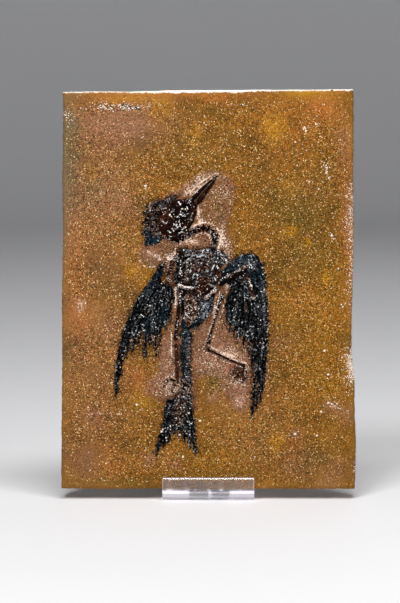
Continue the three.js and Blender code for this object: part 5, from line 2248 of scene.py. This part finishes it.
CLUSTERS = (
    BoneCluster(
        "neck_vertebrae", red=0.15, pale=0, glint=0.45,
        vertebrae=(Vertebrae((
            (-12.6, 93.5), (-9.6, 94.7), (-6.8, 96.4), (-4, 97.9), (-1.4, 98.4), (0.9, 97.6),
            (2.5, 95.8), (2.7, 93.6), (1.7, 91.4),
        ), 12, 1.4),),
        rows=(
            (0.9, 1, -16.6, 95.6, -13, 94.2, -9.4, 95.6, -6.4, 97.6),
        ),
    ),
    BoneCluster(
        "ribcage", red=0.7, pale=0.35, glint=0.45,
        vertebrae=(Vertebrae(((0.9, 88.9), (0.3, 86), (-0.9, 83.2), (-2.2, 81.4)), 6, 0.8),),
        rows=(
            (0.32, 0.4, 0.6, 88.4, -3, 89.2, -7.2, 88.4), (0.32, 0.4, 0.3, 86.8, -2.6, 87.2, -5, 86.6),
            (0.3, 0.4, -0.1, 85.2, -2.6, 85, -4, 83.6), (0.3, 0.4, -0.8, 83.6, -2.8, 83.2, -3.9, 82),
        ),
    ),
    BoneCluster(
        "wishbone", pale=0.3, glint=0.6,
        rows=(
            (0.42, 0.55, -7.4, 80.8, -6.2, 83, -5, 85.4),
            (0.42, 0.55, -7.4, 80.8, -7.9, 83.4, -7.9, 86.4),
        ),
    ),
    BoneCluster(
        "left_toes", red=0.5, pale=0.4, glint=0.3,
        rows=(
            (0.45, 0.63, -12, 40.6, -13.4, 41.1, -14.6, 41.2),
            (0.45, 0.6, -14.6, 41.2, -15.5, 40.5, -16.1, 39.4),
            (0.3, 0.39, -16.1, 39.4, -16.8, 38.7, -17, 37.6),
            (0.45, 0.63, -12, 40.6, -12.9, 39.2, -13.9, 37.8),
            (0.33, 0.46, -13.9, 37.8, -13.7, 36.7, -13, 35.6),
            (0.45, 0.63, -12, 40.6, -11.2, 39.2, -10.5, 37.9),
            (0.33, 0.46, -10.5, 37.9, -9.9, 36.8, -8.9, 36.2),
            (0.43, 0.57, -12, 40.6, -10.9, 41.1, -9.9, 41.1),
            (0.3, 0.41, -9.9, 41.1, -8.9, 40.7, -8.3, 39.8),
        ),
    ),
    BoneCluster(
        "right_toes", red=0.6, pale=0.3, glint=0.5,
        rows=(
            (0.45, 0.63, 13.9, 45.3, 12.6, 45.7, 11.2, 45.5),
            (0.43, 0.57, 11.2, 45.5, 10, 45.2, 9.2, 44.4), (0.3, 0.39, 9.2, 44.4, 8.5, 43.5, 8.3, 42.4),
            (0.45, 0.6, 13.9, 45.3, 14.4, 44.4, 14.6, 43.4),
            (0.43, 0.57, 14.6, 43.4, 14.5, 42.4, 13.7, 41.6),
            (0.3, 0.41, 13.7, 41.6, 12.8, 40.8, 11.8, 40.2),
            (0.43, 0.57, 13.9, 45.3, 13.1, 44.2, 12.4, 43.4),
            (0.4, 0.53, 12.4, 43.4, 11.6, 42.8, 10.7, 42.3),
            (0.28, 0.39, 10.7, 42.3, 10, 41.7, 9.7, 40.8),
        ),
    ),
)


@dataclass(frozen=True)
class FlatBone(Bone):
    """A flat bone drawn as relief over its outline."""

    outline: Outline
    rise: float
    shoulder: float
    seed: int
    keel: tuple[Point, ...] = ()
    vertebrae: tuple[Vertebrae, ...] = ()
    cell: float = 0.2

    def grid(self) -> ReliefGrid:
        """A grid that covers the bone."""
        return ReliefGrid.over(np.array(self.outline.points, dtype=float), 1.0, self.cell)

    def relief(self, u: Array, v: Array) -> tuple[Array, Array]:
        """Draws the bone's crushed and cracked surface.

        Args:
            u: places across.
            v: places up.

        Returns:
            The bone's height at each place, and how deep the place lies in it.
        """
        depth = self.outline.depth(u, v) + 0.16 * noise(u, v, 0.9, self.seed, 2)
        swell = dome(depth, self.shoulder)
        crushed = 0.16 * noise(u, v, 1.5, self.seed + 3, 3)
        cracks = -0.28 * bell(noise(u, v, 2.2, self.seed + 9, 2), 0.09)
        height = BONE_FOOT + self.rise * swell + (crushed + cracks) * swell
        if self.keel:
            near = nearest_on_line(u, v, open_curve(self.keel))
            height += 0.6 * bell(near.distance, 0.5) * smooth_step(0, 0.6, depth)
        return height, depth

    def build(self, finish: Material) -> None:
        """Draws the bone and dresses it.

        Args:
            finish: its material.
        """
        grid = self.grid()
        draft = grid.patch(with_skirt(*self.relief(*grid.places())), FILM_FLOOR, {})
        for part in self.vertebrae:
            draft = joined([draft, *part.drafts(self.seed)])
        self.dress(draft, finish)


FLAT_BONES = (
    FlatBone(
        "breastbone",
        Outline((
            (-4.6, 79), (-2.4, 80), (0.4, 79.2), (0.9, 76.8), (-0.2, 75), (-1.9, 73.9), (-3.4, 71),
            (-4.6, 71.8), (-4.7, 75.6),
        )),
        rise=0.7, shoulder=1, seed=15, red=0.9, pale=0.1, glint=0.5,
        keel=((-1.8, 79.2), (-3.8, 72.4)),
    ),
    FlatBone(
        "pelvis",
        Outline((
            (-8.7, 72.6), (-6.6, 73.4), (-5.2, 71.6), (-4.4, 69), (-4.3, 65.4), (-5.6, 62.4),
            (-7.2, 61), (-8.4, 62), (-8.8, 65.4), (-8.7, 69),
        )),
        rise=0.7, shoulder=0.9, seed=27, red=0.9, pale=0.4, glint=0.55,
        vertebrae=(Vertebrae(((-6.4, 72.2), (-6.3, 67), (-7, 62.4)), 7, 0.8, BONE_LEVEL + 0.25),),
    ),
)


@dataclass(frozen=True)
class Bill:
    """One half of the bill, from its root to its tip."""

    points: tuple[Point, ...]
    root: float
    flatness: float
    level: float
    seed: int
    red: float
    tip: float = 0.3

    def draft(self, gape: tuple[Point, ...]) -> Draft:
        """Draws it, with a thin pale line where the two halves of the bill meet.

        Args:
            gape: the line where they meet.

        Returns:
            The drawn half.
        """
        width = taper_width(self.root, self.tip)
        line = open_curve(self.points)
        draft = Tube(line, width, self.flatness, self.level, seed=self.seed).draft()
        near = nearest_on_line(draft.points[:, 0], draft.points[:, 1], open_curve(gape))
        draft.values = even_values(draft, red=self.red, glint=0.1)
        draft.values["pale"] = 0.7 * bell(near.distance, 0.22)
        return draft


@dataclass(frozen=True)
class Skull:
    """The crushed skull with its eye socket, and the two halves of the bill."""

    cranium: FlatBone = FlatBone("skull", Outline((
        (-4.6, 107.6), (-7.2, 109.2), (-10.4, 109.4), (-13.4, 108.6), (-16.2, 106.7), (-18.2, 104),
        (-18.9, 101), (-18.6, 98.2), (-17.2, 96.2), (-14.8, 95.3), (-12, 95.5), (-9.2, 96.3),
        (-7.2, 98), (-5.8, 100.2), (-4.8, 102.6), (-4.3, 105.2),
    )), rise=1.7, shoulder=4.6, seed=41)
    eye: Point = (-8.6, 105.5)
    eye_radius: float = 2.1
    gape: tuple[Point, ...] = ((-5.2, 108.4), (-2.4, 111.6), (0.4, 114.8), (2.6, 117.2))
    cheek: tuple[Point, ...] = ((-5.6, 104.4), (-6.4, 102), (-8, 99.4))
    upper_bill: Bill = Bill(
        ((-8, 106.6), (-4.5, 110.6), (-1, 114.2), (3.9, 118.5)),
        root=1.25, flatness=0.8, level=BONE_LEVEL + 0.15, seed=66, red=0.1,
    )
    lower_bill: Bill = Bill(
        ((-4.4, 107.1), (-2.1, 110.3), (0.2, 113.4), (2.7, 116.6)),
        root=0.95, flatness=0.85, level=BONE_LEVEL + 0.1, seed=67, red=0.3,
    )

    def build(self, finish: Material) -> None:
        """Draws the skull and the lower bill, and dresses them.

        Args:
            finish: their material.
        """
        whole = joined([self._head(), self.upper_bill.draft(self.gape)])
        publish("skull_fossil", whole, finish, ("skull",))
        jaw = self.lower_bill.draft(self.gape)
        publish("lower_bill_fossil", jaw, finish, ("lower_bill",))

    def _head(self) -> Draft:
        """Draws the cranium, with the eye socket sunk and the cheekbone raised.

        Returns:
            The drawn cranium.
        """
        grid = self.cranium.grid()
        u, v = grid.places()
        height, depth = self.cranium.relief(u, v)
        from_eye = np.hypot(u - self.eye[0], v - self.eye[1])
        height -= 0.9 * smooth_step(self.eye_radius, self.eye_radius - 0.9, from_eye)
        height += 0.3 * bell(from_eye - self.eye_radius - 0.2, 0.35)
        cheek = nearest_on_line(u, v, open_curve(self.cheek)).distance
        height += 0.4 * bell(cheek, 0.5) * smooth_step(0.0, 0.5, depth)
        dark_eye = smooth_step(self.eye_radius + 0.3, self.eye_radius - 0.6, from_eye)
        glint = 0.15 + 0.15 * smooth_step(-16.2, -12.8, u) - 0.3 * dark_eye
        red = 0.2 + 0.5 * smooth_step(-12.0, -16.0, u) + 0.4 * noise(u, v, 3.4, 62, 2) - dark_eye
        return grid.patch(with_skirt(height, depth), FILM_FLOOR, {
            "glint": unit_clip(glint),
            "red": unit_clip(red),
            "pale": 0.3 * bell(cheek, 0.7),
            "gleam": on_strokes(GLEAMS, u, v),
        })


def surface_level(u: Array, v: Array) -> Array:
    """Finds what lies uppermost on the face at each place.

    Args:
        u: places across.
        v: places up.

    Returns:
        The level of its surface.
    """
    level = np.where(HALO.depth(u, v) > 0.3, HALO_LEVEL, 0.02)
    for film in FILMS:
        level = np.where(film.depth(u, v, 8) > -0.2, FILM_LEVEL + 0.08, level)
    for bone in LIMB_BONES:
        distance = nearest_on_line(u, v, bone.line()).distance
        level = np.where(distance < bone.shaft, BONE_LEVEL + 0.4, level)
    cranium = Skull().cranium
    depth = cranium.outline.depth(u, v)
    return np.where(depth > 0.2, BONE_FOOT + cranium.rise * dome(depth, cranium.shoulder), level)


# Loose grains


@dataclass(frozen=True)
class Crystals:
    """Loose pale grains caught in the slab, the film and the bones.

    The grains placed one by one are rows of u, v and radius.
    """

    placed: tuple[Place, ...] = (
        (36.4, 136.6, 0.4), (40.8, 137.8, 0.4), (45, 121.4, 0.4), (44.6, 119.4, 0.45),
        (45.6, 117.4, 0.4), (41.8, 113.2, 0.4), (38.2, 116, 0.35), (36.8, 135, 0.35), (33, 131, 0.4),
        (45.2, 32.4, 0.4), (46.6, 32, 0.45), (47.8, 31.2, 0.35), (46, 31, 0.35), (32.8, 20.6, 0.55),
        (41, 20, 0.5), (45.3, 43, 0.5), (43.8, 52, 0.45), (42.5, 29, 0.5), (46.7, 95.6, 0.5),
        (47.4, 94.3, 0.45), (46.2, 96.5, 0.3), (49.2, 83, 0.4), (50.3, 69.4, 0.4), (50.8, 68.6, 0.35),
        (-23.7, 114.3, 0.55), (-27, 31.7, 0.5), (-3, 25.6, 0.4), (-9.5, 12, 0.5), (-7.2, 28.6, 0.45),
        (-14.2, 23.8, 0.4), (-17.6, 21.6, 0.5), (-17.1, 22.3, 0.4), (-7.8, 25.3, 0.35),
        (-10.7, 20.3, 0.35), (-8.8, 21.7, 0.35), (-16, 19.3, 0.35), (-14.5, 103.2, 0.5),
        (-13.9, 102.6, 0.35), (-9.9, 105.5, 0.35), (-8.6, 105.4, 0.35), (16.3, 76.5, 0.5),
        (-9, 40.5, 0.5),
    )
    scattered: int = 300
    seed: int = 2024
    flatness: float = 0.6

    def build(self, finish: Material, lift: Callable[[Array, Array], Array]) -> None:
        """Draws all the grains as one mesh and dresses it.

        Args:
            finish: their material.
            lift: gives the level of the surface that carries a grain.
        """
        rng = np.random.default_rng(self.seed)
        u = rng.uniform(-54.0, 54.0, self.scattered)
        v = rng.uniform(1.2, 149.0, self.scattered)
        size = 0.15 + 0.15 * rng.random(self.scattered) ** 3
        grains = np.vstack([np.array(self.placed), np.column_stack([u, v, size])])
        levels = lift(grains[:, 0], grains[:, 1])
        corners, faces = self._block()
        drafts = []
        for (grain_u, grain_v, radius), level in zip(grains, levels):
            shape = corners * radius * rng.uniform(0.7, 1.25, (len(corners), 1))
            shape *= np.array([1.0, rng.uniform(0.7, 1.2), self.flatness])
            shape[:, :2] = turned(shape.T, rng.uniform(0, math.pi)).T
            drafts.append(Draft(shape + np.array([grain_u, grain_v, level]), faces))
        publish("pale_grains", joined(drafts), finish, smooth=False)

    @staticmethod
    def _block() -> tuple[Array, Faces]:
        """Corners and faces of a twenty-sided block of radius 1.

        Returns:
            Rows of corners, and the faces.
        """
        g = (1 + math.sqrt(5)) / 2
        corners = np.array([
            (-1, g, 0), (1, g, 0), (-1, -g, 0), (1, -g, 0), (0, -1, g), (0, 1, g),
            (0, -1, -g), (0, 1, -g), (g, 0, -1), (g, 0, 1), (-g, 0, -1), (-g, 0, 1),
        ]) / math.hypot(1, g)
        faces = [
            (0, 11, 5), (0, 5, 1), (0, 1, 7), (0, 7, 10), (0, 10, 11), (1, 5, 9), (5, 11, 4),
            (11, 10, 2), (10, 7, 6), (7, 1, 8), (3, 9, 4), (3, 4, 2), (3, 2, 6), (3, 6, 8),
            (3, 8, 9), (4, 9, 5), (2, 4, 11), (6, 2, 10), (8, 6, 7), (9, 8, 1),
        ]
        return corners, faces


# The easel


@dataclass(frozen=True)
class Easel:
    """A strip of clear sheet bent into a lip, a seat, a backrest and a rear leg."""

    width: float = EASEL_WIDTH
    sheet: float = EASEL_SHEET
    bend_steps: int = 12
    edge_break: float = 0.3
    lip_break: float = 0.35
    stations: int = 70
    lip_levels: tuple[float, ...] = (7.8, 4.5, 3.9)
    # Painted shade and light in the lip's glow: darker bands where the shadow under the slab would show
    # through, and a bright oval.
    shades: tuple[tuple[float, float], ...] = ((-3.3, 4.5), (4.6, 4.0))
    painted_bright_oval: Point = (0.6, 2.1)

    def build(self, finish: Material) -> None:
        """Draws the easel and dresses it.

        Args:
            finish: its material.
        """
        half = self.width / 2
        inner = half - self.edge_break
        broken, full = self._section(self.edge_break), self._section(0.0)
        between = [(x, full) for x in np.linspace(inner, -inner, self.stations)]
        sections = [(half, broken), *between, (-half, broken)]
        points = np.vstack([
            np.column_stack([np.full(len(section), x), section]) for x, section in sections
        ])
        faces = self._faces(len(full), len(sections))
        draft = Draft(points, faces, {"glow": self._painted_glow(points)})
        publish("clear_easel", draft, finish, ("easel",), False, False)

    @staticmethod
    def _faces(count: int, sections: int) -> Faces:
        """Faces of the bent strip.

        Args:
            count: how many points each section has.
            sections: how many sections lie along the width.

        Returns:
            The faces, first those between the sections and then the two ends.
        """
        faces: Faces = []
        for i in range(sections - 1):
            here, ahead = i * count, (i + 1) * count
            for k in range(count):
                following = (k + 1) % count
                faces.append((here + k, here + following, ahead + following, ahead + k))
        last = (sections - 1) * count
        for k in range(count // 2 - 1):
            mirror, before = count - 1 - k, count - 2 - k
            faces.append((k, mirror, before, k + 1))
            faces.append((last + k, last + k + 1, last + before, last + mirror))
        return faces

    def _painted_glow(self, points: Array) -> Array:
        """Painted light: how strongly the lip's foot and its edges glow, standing in for the pale
        table's light gathered there.

        Args:
            points: rows of x, y and z in millimetres.

        Returns:
            One value for each point.
        """
        x, y, z = points.T
        glow = smooth_step(3.9, 3.2, z) * (1 - 0.8 * smooth_step(1.6, 0.8, z))
        # Painted shade: the glow is dimmed in bands where the shadow under the slab would show through
        # the lip.
        for middle, half_width in self.shades:
            inside = half_width - 0.35 * (3.5 - z) - abs(x - middle)
            glow *= 1 - 0.9 * smooth_step(0.0, 0.6, inside) * smooth_step(1.2, 1.8, z)
        # A painted bright oval, a painted line of light just under the slab's lower edge, and painted
        # highlights along the lip's top edge and sides.
        spot = np.hypot((x - self.painted_bright_oval[0]) / 0.6, (z - self.painted_bright_oval[1]) / 1.1)
        painted_edge_line = smooth_step(0.1, 0.5, noise(x, z, 2.4, 83, 2)) * bell(z - 3.9, 0.4)
        rim = (y < y.min() + self.sheet / 2) & (z > LIP_HEIGHT - 0.1)
        rim |= abs(x) > self.width / 2 - 0.1
        glow = np.maximum.reduce([glow, smooth_step(1.2, 0.7, spot), painted_edge_line, rim])
        return glow * (y < -2.5)

    def _section(self, inset: float) -> Array:
        """The side view of the strip as a closed loop.

        Args:
            inset: how far all its faces are moved in.

        Returns:
            Rows of y and z.
        """
        line, normals = self._middle_line()
        half = self.sheet / 2 - inset
        left, right = line + normals * half, line - normals * half
        for side in (left, right):
            before, end = side[-2].copy(), side[-1].copy()
            share = (before[1] - inset) / (before[1] - end[1])
            side[-1] = before + (end - before) * share
        top = LIP_HEIGHT - inset
        left[0, 1] = right[0, 1] = top - self.lip_break
        caps = np.array([left[0], right[0]])
        middle = (caps[0, 0] + caps[1, 0]) / 2
        caps[:, 0] = middle + (caps[:, 0] - middle) * (1 - self.lip_break / half)
        caps[:, 1] = top
        return np.vstack([caps[:1], left, right[::-1], caps[1:]])

    def _corners(self) -> list[tuple[Array, float]]:
        """The middle line's corners in y and z, each with its bend's radius.

        Returns:
            Pairs of a corner and a radius, 0 where the line doesn't bend.
        """
        half = self.sheet / 2
        rear_y, rear_z = FACE.rear_edge
        lip_y = rear_y - SLAB_THICKNESS * math.cos(LEAN) - SEAT_GAP - half
        back = np.array([math.sin(LEAN), math.cos(LEAN)])
        outward = np.array([math.cos(LEAN), -math.sin(LEAN)])
        foot = np.array([rear_y, rear_z]) + outward * (SEAT_GAP + half)
        bottom = foot + back * (half - foot[1]) / back[1]
        top = bottom + back * BACKREST_LENGTH
        leg = np.array([top[0] + top[1] * math.tan(REAR_LEG_ANGLE), 0.0])
        lip = [(np.array([lip_y, level]), 0.0) for level in (LIP_HEIGHT, *self.lip_levels)]
        front = np.array([lip_y, half])
        return [*lip, (front, TIGHT_BEND), (bottom, TIGHT_BEND), (top, TOP_BEND), (leg, 0.0)]

    def _middle_line(self) -> tuple[Array, Array]:
        """The sheet's middle line in y and z, and its normals.

        Returns:
            Rows of points, and rows of normals.
        """
        corners = self._corners()
        points, normals = [], []
        for i, (at, radius) in enumerate(corners):
            before = unit(at - corners[i - 1][0]) if i else None
            after = unit(corners[i + 1][0] - at) if i + 1 < len(corners) else None
            if not radius:
                points.append(at)
                normals.append(left_of(after if before is None else before))
                continue
            turn = math.atan2(before[0] * after[1] - before[1] * after[0], float(before @ after))
            setback = radius * math.tan(abs(turn) / 2)
            sign = math.copysign(1.0, turn)
            centre = at - before * setback + left_of(before) * sign * radius
            for step in range(self.bend_steps + 1):
                normal = left_of(turned(before, turn * step / self.bend_steps))
                points.append(centre - normal * sign * radius)
                normals.append(normal)
        return np.array(points), np.array(normals)


# The studio


def hang(thing: bpy.types.Object, at: Iterable[float], target: Iterable[float]) -> None:
    """Puts a lamp or the camera in its place, looking at the target.

    Args:
        thing: the lamp or the camera.
        at: its place.
        target: what it looks at.
    """
    thing.location = at
    ahead = Vector(target) - thing.location
    thing.rotation_euler = ahead.to_track_quat("-Z", "Y").to_euler()
    bpy.context.scene.collection.objects.link(thing)


@dataclass(frozen=True)
class Lamp:
    """A soft rectangular light that looks at the slab."""

    name: str
    at: Place
    size: tuple[float, float]
    power: float
    target: Place = (0.0, 0.0, 0.07)

    def build(self) -> None:
        """Hangs the light."""
        data = bpy.data.lights.new(self.name, "AREA")
        data.shape = "RECTANGLE"
        data.size, data.size_y = self.size
        data.energy = self.power
        hang(bpy.data.objects.new(self.name, data), self.at, self.target)


@dataclass(frozen=True)
class Studio:
    """A pale table, soft lights and the camera."""

    distance: float = 0.9
    elevation: float = math.radians(6.0)
    aim: Place = (-0.0031, 0.0, 0.0746)
    focal_length: float = 143.2
    film_height: float = 36.0
    lamps: tuple[Lamp, ...] = (
        Lamp("key", (-0.3, -0.6, 0.8), (0.35, 0.3), 5.4),
        Lamp("fill", (0.7, -0.6, 0.6), (0.4, 0.4), 1.2),
        Lamp("top", (0.1, -0.22, 0.85), (0.4, 0.25), 4.4),
        Lamp("rear", (0.3, 0.85, 0.7), (0.6, 0.5), 0.7),
    )
    floor_colour: Colour = (0.86, 0.86, 0.87)
    floor_roughness: float = 0.6
    table_core: float = 0.3
    table_reach: float = 1.4
    table_curve: float = 0.4
    table_rise: float = 1.2
    table_sides: int = 64
    air: Colour = (0.9, 0.93, 1.0)
    air_strength: float = 0.05

    def build(self) -> None:
        """Sets the scene."""
        self._camera()
        self._floor()
        self._world()
        for lamp in self.lamps:
            lamp.build()
        bpy.context.scene.view_settings.view_transform = "Standard"

    def _camera(self) -> None:
        """Places the camera."""
        data = bpy.data.cameras.new("camera")
        data.sensor_fit = "VERTICAL"
        data.sensor_height = self.film_height
        data.lens = self.focal_length
        data.clip_start = 0.01
        camera = bpy.data.objects.new("camera", data)
        back = Vector((0.0, -math.cos(self.elevation), math.sin(self.elevation)))
        hang(camera, Vector(self.aim) + back * self.distance, self.aim)
        bpy.context.scene.camera = camera

    def _floor(self) -> None:
        """Lays a round pale table top that curves up far away on all sides."""
        profile = [(self.table_core, 0.0), (self.table_reach, 0.0)]
        for angle in np.linspace(0.0, QUARTER_TURN, 13)[1:]:
            reach = self.table_reach + self.table_curve * math.sin(angle)
            profile.append((reach, self.table_curve * (1 - math.cos(angle))))
        profile.append((self.table_reach + self.table_curve, self.table_rise))
        turns = np.linspace(0.0, FULL_TURN, self.table_sides + 1)[:-1]
        points = [(r * math.cos(turn), r * math.sin(turn), z) for r, z in profile for turn in turns]
        rings = np.arange(len(points)).reshape(len(profile), -1).tolist()
        faces = [tuple(rings[0])]
        for ring, following in zip(rings[:-1], rings[1:]):
            faces += band(ring, following)
        mesh = bpy.data.meshes.new("table")
        mesh.from_pydata(points, [], faces)
        mesh.polygons.foreach_set("use_smooth", [True] * len(faces))
        material, _, shader = new_material("pale_table")
        shader.inputs["Base Color"].default_value = opaque(self.floor_colour)
        shader.inputs["Roughness"].default_value = self.floor_roughness
        mesh.materials.append(material)
        table = bpy.data.objects.new("table", mesh)
        bpy.context.scene.collection.objects.link(table)

    def _world(self) -> None:
        """Even pale surroundings."""
        world = bpy.data.worlds.new("studio")
        world.use_nodes = True
        background = world.node_tree.nodes["Background"]
        background.inputs["Color"].default_value = opaque(self.air)
        background.inputs["Strength"].default_value = self.air_strength
        bpy.context.scene.world = world


def main() -> None:
    """Builds the whole object, piece by piece."""
    logging.basicConfig(level=logging.INFO, format="%(name)s %(message)s")
    Studio().build()
    effects = Effects()
    resin = ResinFinish().build(effects)
    film = FilmFinish().build(effects)
    bone = BoneFinish().build(effects)
    Slab().build(resin, FILMS)
    for sheet in FILMS:
        sheet.build(film)
    for order, limb in enumerate(LIMB_BONES):
        limb.build(bone, 100 + 7 * order)
    for order, cluster in enumerate(CLUSTERS):
        cluster.build(bone, 300 + 31 * order)
    for flat in FLAT_BONES:
        flat.build(bone)
    Skull().build(bone)
    Crystals().build(CrystalFinish().build(effects), surface_level)
    Easel().build(AcrylicFinish().build(effects))


if __name__ == "__main__":
    main()
